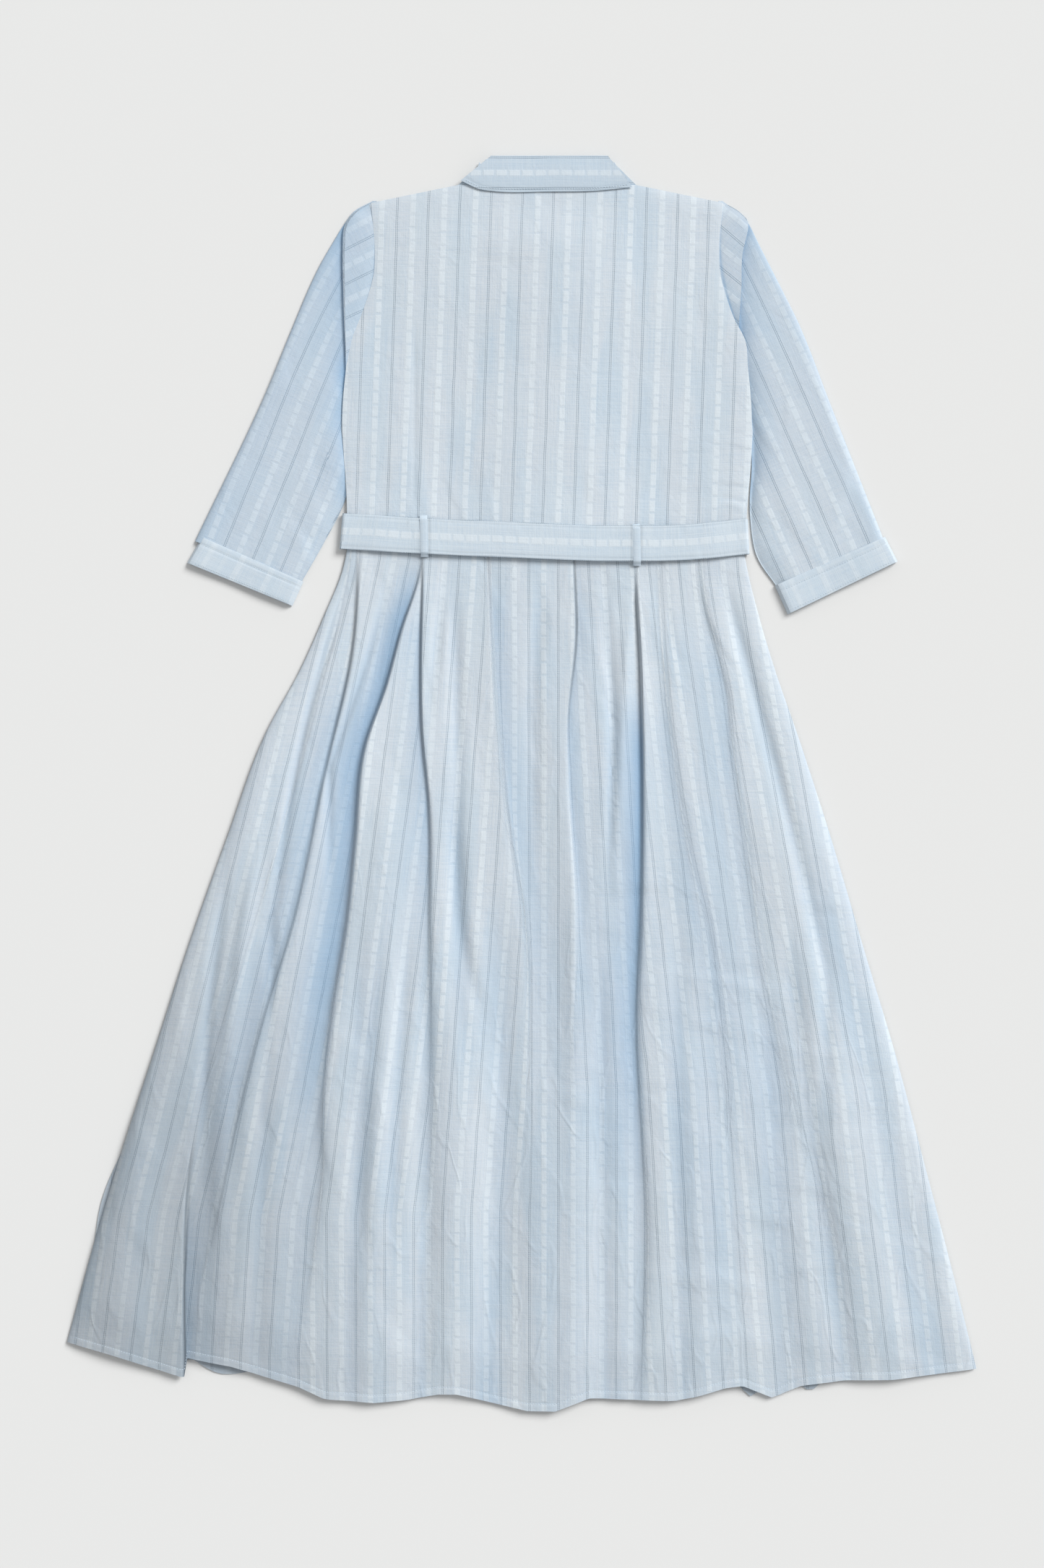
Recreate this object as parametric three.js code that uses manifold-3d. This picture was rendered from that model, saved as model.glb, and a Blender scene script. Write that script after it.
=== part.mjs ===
// Belted shirt dress in striped cotton, laid face down on a flat surface, back upwards.
// Millimetres. +X to the right as seen from above, +Y towards the collar, +Z up from the surface.
// The garment is drawn about its centre-back line and moved at the end so that the origin lies
// under the middle of its outline, on the surface it rests on.
// Each soft solid is a ply or a flat tube of cloth with the air it holds. Panels that a fold
// crosses are made in two plates, one on each side of the fold.

import * as THREE from 'three';
import { mergeVertices } from 'three/addons/utils/BufferGeometryUtils.js';
import Module from 'manifold-3d';

const wasm = await Module();
wasm.setup();

// ---- Cloth layers
const ply = 1.6;              // one layer of dress cloth
const facedPly = 1.2;         // one layer of an interfaced band
const layerGap = 0.5;         // air between two layers that lie on each other
const seamGap = 0.4;          // between two panels that meet edge to edge

// ---- Lengths along the garment, measured from the middle of its outline
const collarTopY = 677;       // fold line of the collar
const neckY = 645.5;          // side neck point
const shoulderY = 625.5;      // shoulder point
const armpitY = 481;
const waistY = 259.5;         // lowest point of the waist seam at the back
const skirtFoldY = -262;      // where the skirt folds up
const sleeveEndY = 296;       // where the underarm leaves the fold line of the sleeve
const hemY = -677;            // lowest point of the hem

// ---- Widths, measured from the centre back
const neckHalf = 97;
const shoulderHalf = 192;
const sideHalf = 222;         // fullest part of the bodice side
const waistHalf = 214;
const sleeveFoldX = 226;      // fold line of both sleeves
const hemLeft = 517.5;
const hemRight = 463.5;
const hemRiseLeft = 74;       // how far the hem climbs towards each side
const hemRiseRight = 46;

// ---- Collar
const collarHeight = 38.5;
const collarFoldHalf = 65;
const frontNeckDrop = 70;
const collarPointX = 56;
const collarPointY = 552;

// ---- Front opening
const placketHalf = 15;
const placketTopY = 572;
const placketEndY = 282;
const buttonRadius = 5.75;
const buttonThick = 2;
const buttonCount = 6;
const buttonPitch = 50;
const firstButtonY = 556;
const buttonholeLength = 14;
const threadRadius = 1;
const threadClearance = 0.4;  // round the thread shank in its buttonhole

// ---- Belt
const beltWidth = 37.5;
const beltThick = 1.6;
const beltSag = 2.0e-4;       // waist line: sag times distance squared
const beltLowX = 40;          // where the waist line is lowest
const beltSlack = 0.9;        // over and beside the panels, so that the belt slides
const beltSideClearance = 6;
const beltEndGap = 12;        // between the two ends at the front
const loopX = [-132, 96];
const loopWidth = 9;
const loopThick = 1.2;
const loopFoot = 2.9;
const loopClearance = 0.6;    // round the belt

// ---- Sleeves
const sleeveThick = 5;
const cuffHeight = 28;
const cuffSlit = 0.8;         // the cuff's mouth, pressed flat

// ---- Skirt
const pleatCount = 8;
const pleatHeight = 13;
const pleatStartY = 232;

// ---- Finishes
const finishes = {
  cloth: { color: 0xccd9e4, roughness: 0.9, metalness: 0 },
  faced: { color: 0xc4d4e2, roughness: 0.88, metalness: 0 },
  button: { color: 0xe6ebef, roughness: 0.35, metalness: 0 },
};

const dress = new THREE.Group();

function add(name, geometry, finish) {
  geometry.computeVertexNormals();
  const mesh = new THREE.Mesh(geometry, new THREE.MeshStandardMaterial(finishes[finish]));
  mesh.name = name;
  dress.add(mesh);
  return mesh;
}

// ---- Curves and levels

const lerp = THREE.MathUtils.lerp;
const smooth = THREE.MathUtils.smoothstep;

function bell(u) {
  return Math.abs(u) < 1 ? (1 - u * u) ** 2 : 0;
}

// An edge through a few [y, x] points, from top to bottom.
function edgeThrough(points) {
  const curve = new THREE.SplineCurve(points.map(([y, x]) => new THREE.Vector2(y, x)));
  const samples = curve.getPoints(points.length * 16);
  return (y) => {
    if (y >= samples[0].x) return samples[0].y;
    const next = samples.findIndex((sample) => sample.x <= y);
    if (next < 0) return samples[samples.length - 1].y;
    const above = samples[next - 1];
    const below = samples[next];
    return lerp(above.y, below.y, (above.x - y) / (above.x - below.x));
  };
}

function waistLine(x) {
  return waistY + beltSag * (x - beltLowX) ** 2;
}

const sideWaistY = waistLine(-waistHalf);

// Armhole seam above the armpit, side seam below it.
const bodiceSide = edgeThrough([
  [shoulderY, shoulderHalf],
  [560, shoulderHalf - 6],
  [510, shoulderHalf + 1],
  [armpitY, shoulderHalf + 15],
  [430, sideHalf - 3],
  [380, sideHalf],
  [315, waistHalf + 3],
  [sideWaistY, waistHalf],
  [waistY - 20, waistHalf],
]);

function skirtEdge(hemHalf, hipHalf, kneeHalf, hemRise) {
  return edgeThrough([
    [sideWaistY, waistHalf],
    [waistY - 14, waistHalf + 1],
    [222, lerp(waistHalf, hipHalf, 0.2)],
    [60, hipHalf],
    [-175, kneeHalf],
    [-409, lerp(kneeHalf, hemHalf, 0.54)],
    [hemY + hemRise, hemHalf],
  ]);
}

const skirtLeft = skirtEdge(hemLeft, 301, 383, hemRiseLeft);
const skirtRight = skirtEdge(hemRight, 271, 341, hemRiseRight);

function hemLine(x) {
  const [half, rise] = x < 0 ? [hemLeft, hemRiseLeft] : [hemRight, hemRiseRight];
  return hemY + rise * (x / half) ** 2;
}

function shoulderLine(x) {
  const slope = (neckY - shoulderY) / (shoulderHalf - neckHalf);
  return neckY - slope * (Math.abs(x) - neckHalf);
}

function backTopLine(x) {
  return Math.abs(x) > neckHalf ? shoulderLine(x) : neckY;
}

function frontTopLine(x) {
  if (Math.abs(x) > neckHalf) return shoulderLine(x);
  return neckY - frontNeckDrop * Math.sqrt(1 - (x / neckHalf) ** 2);
}

// Lifts of the cloth over what lies under it.
const liftWidth = 110;
const placketFade = (y) => smooth(y, 150, 262) * (1 - smooth(y, 575, 630));
const placketBell = (x, y) => bell(x / liftWidth) * placketFade(y);
const beltLift = (x, y) => (beltThick + layerGap + 0.5) * bell((y - waistLine(x)) / 60);
const collarLift = (x, y) =>
  (ply + layerGap + 0.1) * smooth(y, 440, 545) * (1 - smooth(Math.abs(x), 100, 180));

function frontUnder(x, y) {
  return (buttonThick + layerGap + 0.1) * placketBell(x, y) + beltLift(x, y) + collarLift(x, y);
}

function placketStack() {
  return 2 * facedPly + layerGap;
}

function backUnder(x, y) {
  const overPlackets = placketStack() - ply + 0.2;
  return frontUnder(x, y) + ply + layerGap + overPlackets * placketBell(x, y);
}

function backTop(x, y) {
  return backUnder(x, y) + ply;
}

// The skirt's front lies straight on the surface but for the belt's rise.
function skirtFrontUnder(x, y) {
  return beltLift(x, y);
}

function skirtBackUnder(x, y) {
  const waistRise = backUnder(x, y) - frontUnder(x, y) - ply - layerGap
    + (buttonThick + layerGap + 0.1) * placketBell(x, y);
  return skirtFrontUnder(x, y) + ply + layerGap + waistRise;
}

function pleatRelief(x, y) {
  const across = (x + skirtLeft(y)) / (skirtLeft(y) + skirtRight(y));
  const depth = pleatHeight * smooth(pleatStartY - y, 0, 330);
  return depth * (0.5 - 0.5 * Math.cos(2 * Math.PI * pleatCount * across));
}

// ---- Solids

// A closed geometry from points and triangles, its faces turned outwards.
function closedGeometry(points, triangles) {
  let volume = 0;
  for (const [a, b, c] of triangles) {
    volume += points[a].dot(points[b].clone().cross(points[c]));
  }
  const faces = volume < 0 ? triangles.map(([a, b, c]) => [a, c, b]) : triangles;
  const geometry = new THREE.BufferGeometry();
  geometry.setAttribute(
    'position',
    new THREE.Float32BufferAttribute(points.flatMap((point) => point.toArray()), 3),
  );
  geometry.setIndex(faces.flat());
  return geometry;
}

// A ply of cloth: a grid of places, each with an underside and a thickness.
function plySolid(columns, rows, place, under, thick) {
  const points = [];
  for (const isTop of [false, true]) {
    for (const t of rows) {
      for (const s of columns) {
        const [x, y] = place(s, t);
        points.push(new THREE.Vector3(x, y, under(x, y) + (isTop ? thick(x, y) : 0)));
      }
    }
  }
  const width = columns.length;
  const height = rows.length;
  const layer = width * height;
  const at = (row, column, top) => top * layer + row * width + column;
  const triangles = [];
  const quad = (a, b, c, d) => triangles.push([a, b, c], [a, c, d]);
  for (let row = 0; row < height - 1; row++) {
    for (let column = 0; column < width - 1; column++) {
      const corners = [[row, column], [row, column + 1], [row + 1, column + 1], [row + 1, column]];
      quad(...corners.map(([r, c]) => at(r, c, 1)));
      quad(...corners.reverse().map(([r, c]) => at(r, c, 0)));
    }
  }
  const rim = [];
  for (let column = 0; column < width - 1; column++) rim.push([0, column]);
  for (let row = 0; row < height - 1; row++) rim.push([row, width - 1]);
  for (let column = width - 1; column > 0; column--) rim.push([height - 1, column]);
  for (let row = height - 1; row > 0; row--) rim.push([row, 0]);
  rim.forEach((here, step) => {
    const next = rim[(step + 1) % rim.length];
    quad(at(...here, 0), at(...next, 0), at(...next, 1), at(...here, 1));
  });
  return closedGeometry(points, triangles);
}

function evenSteps(count) {
  return Array.from({ length: count + 1 }, (_, step) => step / count);
}

// A bar of rectangular section that follows a path: each station gives its four corners.
function barSolid(stations) {
  const points = stations.flat();
  const triangles = [];
  const quad = (a, b, c, d) => triangles.push([a, b, c], [a, c, d]);
  for (let station = 0; station < stations.length - 1; station++) {
    for (let corner = 0; corner < 4; corner++) {
      const here = station * 4;
      const next = here + 4;
      const other = (corner + 1) % 4;
      quad(here + corner, here + other, next + other, next + corner);
    }
  }
  const last = points.length - 4;
  quad(3, 2, 1, 0);
  quad(last, last + 1, last + 2, last + 3);
  return closedGeometry(points, triangles);
}

function toManifold(geometry) {
  const bare = geometry.clone();
  bare.deleteAttribute('normal');
  bare.deleteAttribute('uv');
  const merged = mergeVertices(bare, 1e-4);
  return new wasm.Manifold(new wasm.Mesh({
    numProp: 3,
    vertProperties: new Float32Array(merged.attributes.position.array),
    triVerts: new Uint32Array(merged.index.array),
  }));
}

function fromManifold(solid) {
  const { vertProperties, triVerts } = solid.getMesh();
  const geometry = new THREE.BufferGeometry();
  geometry.setAttribute('position', new THREE.BufferAttribute(vertProperties, 3));
  geometry.setIndex(new THREE.BufferAttribute(triVerts, 1));
  return geometry;
}

function uprightRod(radius, bottom, top, x, y, sides) {
  const rod = new THREE.CylinderGeometry(radius, radius, top - bottom, sides);
  rod.rotateX(Math.PI / 2);
  rod.translate(x, y, (bottom + top) / 2);
  return rod;
}

// ---- Bodice

const bodiceRows = [0, 0.04, 0.1, 0.2, 0.32, 0.44, 0.56, 0.68, 0.78, 0.84, 0.89, 0.93, 0.97, 1];
const seamX = placketHalf + seamGap;
const neckColumn = (neckHalf - seamX) / (shoulderHalf - seamX);
const neckColumns = [0, 0.3, 0.58, 0.8, 0.94, 1].map((share) => share * neckColumn);
const halfColumns = [...neckColumns, 0.63, 0.81, 1];

function bodicePlace(topLine, side) {
  return (c, t) => {
    const widthY = lerp(shoulderY, sideWaistY, t);
    const x = side * lerp(seamX, bodiceSide(widthY), c);
    return [x, lerp(topLine(x), waistLine(x) + seamGap / 2, t)];
  };
}

// The back's columns run through both halves and the centre between them.
const backColumns = [...halfColumns.map((c) => -1 - c).reverse(), 0, ...halfColumns.map((c) => 1 + c)];

function backPlace(c, t) {
  if (c === 0) return [0, lerp(neckY, waistLine(0) + seamGap / 2, t)];
  return bodicePlace(backTopLine, Math.sign(c))(Math.abs(c) - 1, t);
}

add('back_bodice', plySolid(backColumns, bodiceRows, backPlace, backUnder, () => ply), 'cloth');

for (const [name, side] of [['front_bodice_left', -1], ['front_bodice_right', 1]]) {
  add(name, plySolid(
    halfColumns, bodiceRows, bodicePlace(frontTopLine, side), frontUnder, () => ply,
  ), 'cloth');
}

// ---- Front bands and buttons

const placketRows = evenSteps(8);
const placketPlace = (s, t) => [lerp(-placketHalf, placketHalf, s), lerp(placketTopY, placketEndY, t)];
const innerBandUnder = (x, y) => frontUnder(x, y) + facedPly + layerGap;
const buttonYs = Array.from({ length: buttonCount }, (_, place) => firstButtonY - place * buttonPitch);

let buttonholeBand = toManifold(plySolid(
  evenSteps(2), placketRows, placketPlace, frontUnder, () => facedPly,
));
for (const y of buttonYs) {
  const slotWidth = 2 * (threadRadius + threadClearance);
  const slot = new THREE.BoxGeometry(slotWidth, buttonholeLength, 20);
  slot.translate(0, y, 5);
  buttonholeBand = buttonholeBand.subtract(toManifold(slot));
}
add('buttonhole_placket', fromManifold(buttonholeBand), 'faced');
add('button_placket', plySolid(
  evenSteps(2), placketRows, placketPlace, innerBandUnder, () => facedPly,
), 'faced');

// A four-hole button on its thread shank, which passes the buttonhole up to the inner band.
function buttonSolid(y) {
  const rim = 0.5;
  const profile = [
    [0, 0.6], [buttonRadius * 0.55, 0.6], [buttonRadius * 0.72, 0], [buttonRadius - rim, 0],
    [buttonRadius, rim], [buttonRadius, buttonThick - rim], [buttonRadius - rim, buttonThick],
    [0, buttonThick],
  ];
  const disc = new THREE.LatheGeometry(profile.map(([r, z]) => new THREE.Vector2(r, z)), 20);
  disc.rotateX(Math.PI / 2);
  disc.translate(0, y, 0);
  let solid = toManifold(disc);
  const holeRadius = 0.75;
  const holeSpread = 1.25;
  for (const [across, along] of [[-1, -1], [1, -1], [1, 1], [-1, 1]]) {
    const hole = uprightRod(holeRadius, -1, buttonThick * 0.75, across * holeSpread,
      y + along * holeSpread, 8);
    solid = solid.subtract(toManifold(hole));
  }
  const shankTop = innerBandUnder(0, y) - layerGap;
  const shank = uprightRod(threadRadius, buttonThick - 0.3, shankTop, 0, y, 10);
  return fromManifold(solid.add(toManifold(shank)));
}

buttonYs.forEach((y, place) => add(`button_${place + 1}`, buttonSolid(y), 'button'));

// ---- Collar

const collarTurnIn = 0.4;     // the leaf stops this far short of its fold line
const collarFoldGap = 0.9;    // between the leaf and the stand inside the fold
const leafUnder = () => collarLift(0, neckY) + 2 * ply + 2 * layerGap;
const leafFade = (x) => smooth(Math.abs(x), 70, neckHalf);

function leafPlace(s, t) {
  const foldX = lerp(-collarFoldHalf, collarFoldHalf, s);
  const freeX = lerp(-neckHalf, neckHalf, s);
  const freeY = collarTopY - collarHeight + 8 * leafFade(freeX);
  return [lerp(foldX, freeX, t), lerp(collarTopY - collarTurnIn, freeY, t)];
}

add('collar_leaf', plySolid(evenSteps(12), evenSteps(3), leafPlace, leafUnder, () => facedPly), 'faced');

function standPlace(s, t) {
  const topHalf = collarFoldHalf - 1;
  const bottomHalf = neckHalf - 2;
  const half = lerp(topHalf, bottomHalf, t);
  return [lerp(-half, half, s), lerp(collarTopY - 1.2, neckY + seamGap, t)];
}

const standUnder = () => leafUnder() - collarFoldGap - facedPly;
add('collar_stand', plySolid(evenSteps(6), evenSteps(2), standPlace, standUnder, () => facedPly), 'faced');

// The collar's front ends lie under the front: leaf points lowest, stand wings over them.
const pointOuter = new THREE.SplineCurve([
  new THREE.Vector2(neckHalf - 1, neckY + 1),
  new THREE.Vector2(lerp(neckHalf, collarPointX, 0.3), 602),
  new THREE.Vector2(collarPointX, collarPointY),
]);
const pointInner = new THREE.SplineCurve([
  new THREE.Vector2(collarFoldHalf, collarTopY - 2),
  new THREE.Vector2(collarFoldHalf * 0.72, 622),
  new THREE.Vector2(placketHalf + 2, placketTopY + 14),
]);

function betweenCurves(inner, outer, side) {
  return (s, t) => {
    const from = inner.getPoint(t);
    const to = outer.getPoint(t);
    return [side * lerp(from.x, to.x, s), lerp(from.y, to.y, s)];
  };
}

// The wing's outer edge is the front neckline, its inner edge the collar's fold.
const wingClearance = 1.6;
const neckCurve = new THREE.SplineCurve([0.94, 0.84, 0.62, 0.2].map((share) => {
  const x = neckHalf * share;
  return new THREE.Vector2(x, frontTopLine(x) + wingClearance);
}));
const wingInner = new THREE.SplineCurve([
  new THREE.Vector2(collarFoldHalf + 8, collarTopY - 6),
  new THREE.Vector2(collarFoldHalf * 0.8, 640),
  new THREE.Vector2(placketHalf + 1, placketTopY + 22),
]);
const wingUnder = () => facedPly + layerGap;

for (const [word, side] of [['left', -1], ['right', 1]]) {
  add(`collar_point_${word}`, plySolid(
    evenSteps(2), evenSteps(6), betweenCurves(pointInner, pointOuter, side), () => 0, () => facedPly,
  ), 'faced');
  add(`stand_wing_${word}`, plySolid(
    evenSteps(1), evenSteps(6), betweenCurves(wingInner, neckCurve, side), wingUnder, () => facedPly,
  ), 'faced');
}

// ---- Sleeves and cuffs

// Outline of each sleeve below its head, as [x, y] away from the centre back.
const sleeveShapes = {
  left: { elbow: [303.4, 424], cuffOuter: [371.5, 264.8], cuffInner: [265.5, 216] },
  right: { elbow: [304.5, 412], cuffOuter: [363.5, 264.8], cuffInner: [266.5, 212] },
};
const sleeveTopY = 592;
const sleeveBulge = [243.5, 562];
const headRows = bodiceRows.slice(1, -3);
const headDrop = 16;          // from the armhole seam out to the fold line, at the sleeve's crown

function toVector([x, y]) {
  return new THREE.Vector2(x, y);
}

// The strip between the armhole seam and the fold line shares the bodice's rows.
function headPlace(side) {
  return (s, t) => {
    const [seam, y] = bodicePlace(backTopLine, side)(1, t);
    const drop = headDrop * (1 - smooth(t, 0, 0.25));
    const x = lerp(Math.abs(seam) + seamGap, sleeveFoldX - seamGap / 2, s);
    return [side * x, y - drop * s];
  };
}

// The sleeve's cuff end, and the cuff's own corners beyond it.
function cuffFrame(shape) {
  const outer = toVector(shape.cuffOuter);
  const inner = toVector(shape.cuffInner);
  const across = inner.clone().sub(outer).normalize();
  const down = new THREE.Vector2(across.y, -across.x);
  if (down.y > 0) down.negate();
  return { outer, inner, across, down };
}

// A pressed-flat tube between two edges: rounded at its sides, with a slit for its mouth.
function flatTube(corners, thick, slit) {
  const ring = (left, right, half, inset) => {
    const across = right.clone().sub(left).normalize();
    const a = left.clone().addScaledVector(across, inset);
    const b = right.clone().addScaledVector(across, -inset);
    const nose = half * 0.6;
    const middle = thick / 2;
    const aNose = a.clone().addScaledVector(across, nose);
    const bNose = b.clone().addScaledVector(across, -nose);
    return [
      new THREE.Vector3(a.x, a.y, middle),
      new THREE.Vector3(aNose.x, aNose.y, middle - half),
      new THREE.Vector3(bNose.x, bNose.y, middle - half),
      new THREE.Vector3(b.x, b.y, middle),
      new THREE.Vector3(bNose.x, bNose.y, middle + half),
      new THREE.Vector3(aNose.x, aNose.y, middle + half),
    ];
  };
  const points = corners.flatMap(([left, right]) => [
    ...ring(left, right, thick / 2, 0),
    ...ring(left, right, slit / 2, thick * 0.6),
  ]);
  const triangles = [];
  const quad = (a, b, c, d) => triangles.push([a, b, c], [a, c, d]);
  const size = 6;
  for (let corner = 0; corner < size; corner++) {
    const other = (corner + 1) % size;
    const far = 2 * size;
    quad(corner, other, far + other, far + corner);
    quad(size + corner, far + size + corner, far + size + other, size + other);
    quad(corner, size + corner, size + other, other);
    quad(far + corner, far + other, far + size + other, far + size + corner);
  }
  return closedGeometry(points, triangles);
}

for (const [word, side] of [['left', -1], ['right', 1]]) {
  const shape = sleeveShapes[word];
  const { outer, inner, across, down } = cuffFrame(shape);
  add(`${word}_sleeve_head`, plySolid(
    evenSteps(2), headRows, headPlace(side), () => 0, () => 2 * ply + layerGap,
  ), 'cloth');

  const outerEdge = new THREE.SplineCurve([
    toVector([sleeveFoldX + seamGap, sleeveTopY]), toVector(sleeveBulge),
    toVector(shape.elbow), outer,
  ]);
  const innerEdge = new THREE.Path([toVector([sleeveFoldX + seamGap, sleeveTopY - 6])]);
  innerEdge.moveTo(sleeveFoldX + seamGap, sleeveTopY - 6);
  innerEdge.lineTo(sleeveFoldX + seamGap, sleeveEndY);
  innerEdge.lineTo(inner.x, inner.y);
  const crown = (x) => sleeveThick - 1.4 * bell((Math.abs(x) - sleeveFoldX) / 60);
  add(`${word}_sleeve`, plySolid(
    evenSteps(4), evenSteps(10), betweenCurves(innerEdge, outerEdge, side), () => 0, crown,
  ), 'cloth');

  const flare = 2;
  const cornerAt = (base, outward, depth) => {
    const point = base.clone().addScaledVector(across, outward).addScaledVector(down, depth);
    return new THREE.Vector2(side * point.x, point.y);
  };
  add(`${word}_cuff`, flatTube([
    [cornerAt(outer, -flare, seamGap), cornerAt(inner, flare, seamGap)],
    [cornerAt(outer, -flare, cuffHeight), cornerAt(inner, flare, cuffHeight)],
  ], sleeveThick + 0.6, cuffSlit), 'faced');
}

// ---- Skirt

function skirtPlace(topLine, bottomLine) {
  return (s, t) => {
    const widthY = lerp(topLine(-waistHalf), bottomLine(-hemLeft), t);
    const rightY = lerp(topLine(waistHalf), bottomLine(hemRight), t);
    const x = lerp(-skirtLeft(widthY), skirtRight(rightY), s);
    return [x, lerp(topLine(x), bottomLine(x), t)];
  };
}

const foldLine = () => skirtFoldY;
const upperRows = [0, 15, 30, 45, 62, 110, 180, 270, 370, 450, 522].map((step) => step / 522);
const upperPlace = skirtPlace((x) => waistLine(x) - seamGap / 2, foldLine);
const lowerPlace = skirtPlace(() => skirtFoldY - seamGap, hemLine);
const pleatColumns = evenSteps(pleatCount * 4);
const pleated = (x, y) => ply + pleatRelief(x, y);

add('back_skirt_upper', plySolid(pleatColumns, upperRows, upperPlace, skirtBackUnder, pleated), 'cloth');
add('front_skirt_upper', plySolid(evenSteps(8), upperRows, upperPlace, skirtFrontUnder, () => ply), 'cloth');
add('back_skirt_lower', plySolid(pleatColumns, evenSteps(4), lowerPlace, skirtBackUnder, pleated), 'cloth');
add('front_skirt_lower', plySolid(evenSteps(8), evenSteps(4), lowerPlace, skirtFrontUnder, () => ply), 'cloth');

// ---- Belt and its loops

const beltSideX = waistHalf + beltSideClearance;
const beltBackUnder = (x) => {
  const y = waistLine(x);
  return Math.max(backTop(x, y), skirtBackUnder(x, y) + ply) + beltSlack;
};

// Stations run from one front end, round the side, over the back and round to the other end.
function beltStation(innerX, innerZ, outX, outZ) {
  const y = waistLine(innerX);
  const [low, high] = [y - beltWidth / 2, y + beltWidth / 2];
  return [
    new THREE.Vector3(innerX, low, innerZ), new THREE.Vector3(innerX, high, innerZ),
    new THREE.Vector3(outX, high, outZ), new THREE.Vector3(outX, low, outZ),
  ];
}

const beltFront = (x) => beltStation(x, beltThick, x, 0);
const beltBack = (x) => beltStation(x, beltBackUnder(x), x, beltBackUnder(x) + beltThick);

// The two mitred stations where the belt turns round one side, front one first.
function beltTurn(side) {
  const x = side * beltSideX;
  const outX = side * (beltSideX + beltThick);
  const under = beltBackUnder(x);
  return [beltStation(x, beltThick, outX, 0), beltStation(x, under, outX, under + beltThick)];
}

const beltBackXs = evenSteps(16).slice(1, -1).map((step) => lerp(-beltSideX, beltSideX, step));
const beltPath = [
  beltFront(-beltEndGap / 2), beltFront(-waistHalf / 2), ...beltTurn(-1),
  ...beltBackXs.map(beltBack),
  ...beltTurn(1).reverse(), beltFront(waistHalf / 2), beltFront(beltEndGap / 2),
];

add('belt', barSolid(beltPath), 'faced');

// A loop is a low bridge over the belt, its two feet sewn to the bodice and to the skirt.
function loopSolid(x) {
  const y = waistLine(x);
  const reach = beltWidth / 2 + loopClearance;
  const bottom = Math.max(backTop(x, y + reach), skirtBackUnder(x, y - reach) + ply) + layerGap;
  const roof = beltBackUnder(x) + beltThick + loopClearance;
  const end = reach + loopThick + loopFoot;
  const outline = [
    [-end, bottom], [-reach, bottom], [-reach, roof], [reach, roof], [reach, bottom], [end, bottom],
    [end, bottom + loopThick], [reach + loopThick, bottom + loopThick],
    [reach + loopThick, roof + loopThick], [-reach - loopThick, roof + loopThick],
    [-reach - loopThick, bottom + loopThick], [-end, bottom + loopThick],
  ];
  const bridge = new THREE.ExtrudeGeometry(
    new THREE.Shape(outline.map(toVector)),
    { depth: loopWidth, bevelEnabled: false },
  );
  bridge.rotateX(Math.PI / 2);
  bridge.rotateZ(Math.PI / 2);
  bridge.translate(x - loopWidth / 2, y, 0);
  return bridge;
}

add('belt_loop_left', loopSolid(loopX[0]), 'faced');
add('belt_loop_right', loopSolid(loopX[1]), 'faced');

// ---- Origin under the middle of the outline

dress.updateMatrixWorld(true);
const outlineBox = new THREE.Box3().setFromObject(dress, true);
const middle = outlineBox.getCenter(new THREE.Vector3());
dress.position.set(-middle.x, -middle.y, -outlineBox.min.z);

export default dress;
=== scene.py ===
import math

import bpy
import numpy as np
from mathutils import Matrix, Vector


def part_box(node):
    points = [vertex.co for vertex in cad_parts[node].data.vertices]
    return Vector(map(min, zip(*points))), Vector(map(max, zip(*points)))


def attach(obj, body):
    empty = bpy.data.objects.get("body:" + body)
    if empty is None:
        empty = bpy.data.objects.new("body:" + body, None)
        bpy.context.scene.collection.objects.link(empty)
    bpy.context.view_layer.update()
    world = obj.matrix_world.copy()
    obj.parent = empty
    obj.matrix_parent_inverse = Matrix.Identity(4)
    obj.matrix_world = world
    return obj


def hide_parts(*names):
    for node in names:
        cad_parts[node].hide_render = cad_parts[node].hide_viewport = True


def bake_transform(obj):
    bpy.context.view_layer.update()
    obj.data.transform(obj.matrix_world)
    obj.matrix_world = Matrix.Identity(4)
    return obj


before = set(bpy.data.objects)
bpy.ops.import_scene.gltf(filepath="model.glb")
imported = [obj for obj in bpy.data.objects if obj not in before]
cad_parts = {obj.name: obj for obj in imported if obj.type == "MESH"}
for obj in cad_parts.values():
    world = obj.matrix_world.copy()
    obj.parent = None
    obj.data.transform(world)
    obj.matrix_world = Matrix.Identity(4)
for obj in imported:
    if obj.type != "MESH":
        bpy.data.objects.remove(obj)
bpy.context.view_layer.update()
print("frame loaded")

mm = 0.001
hemDepth = 0.677  # from the drawing's zero down to the lowest point of the hem
originX = (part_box("back_bodice")[0].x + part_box("back_bodice")[1].x) / 2  # centre back
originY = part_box("back_skirt_lower")[0].y + hemDepth


# ---- camera, floor and light

studio = {
    "cameraHeight": 3.0,
    "viewLength": 1.6935,  # m of floor along the view's long side
    "sensor": 36,
    "floorSize": 7.0,
    "floorDrop": 0.0004,
    "floorTone": (0.775, 0.775, 0.765),
    "floorRoughness": 0.9,
    "floorGloss": 0.15,
    "keyStrength": 2.88,
    "keyFrom": (0.74, 0.66, 0.76),  # towards the light
    "keySoftness": 28,  # degrees across
    "skyTone": (0.98, 0.99, 1.0),
    "skyStrength": 0.50,
}

scene = bpy.context.scene
scene.view_settings.view_transform = "Standard"


def lookDown(obj, target):
    way = Vector(target) - obj.location
    obj.rotation_euler = way.to_track_quat("-Z", "Y").to_euler()


def makeCamera():
    data = bpy.data.cameras.new("dressCamera")
    data.sensor_width = studio["sensor"]
    data.lens = studio["sensor"] * studio["cameraHeight"] / studio["viewLength"]
    obj = bpy.data.objects.new("dressCamera", data)
    obj.location = (0, 0, studio["cameraHeight"])
    scene.collection.objects.link(obj)
    scene.camera = obj


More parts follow.
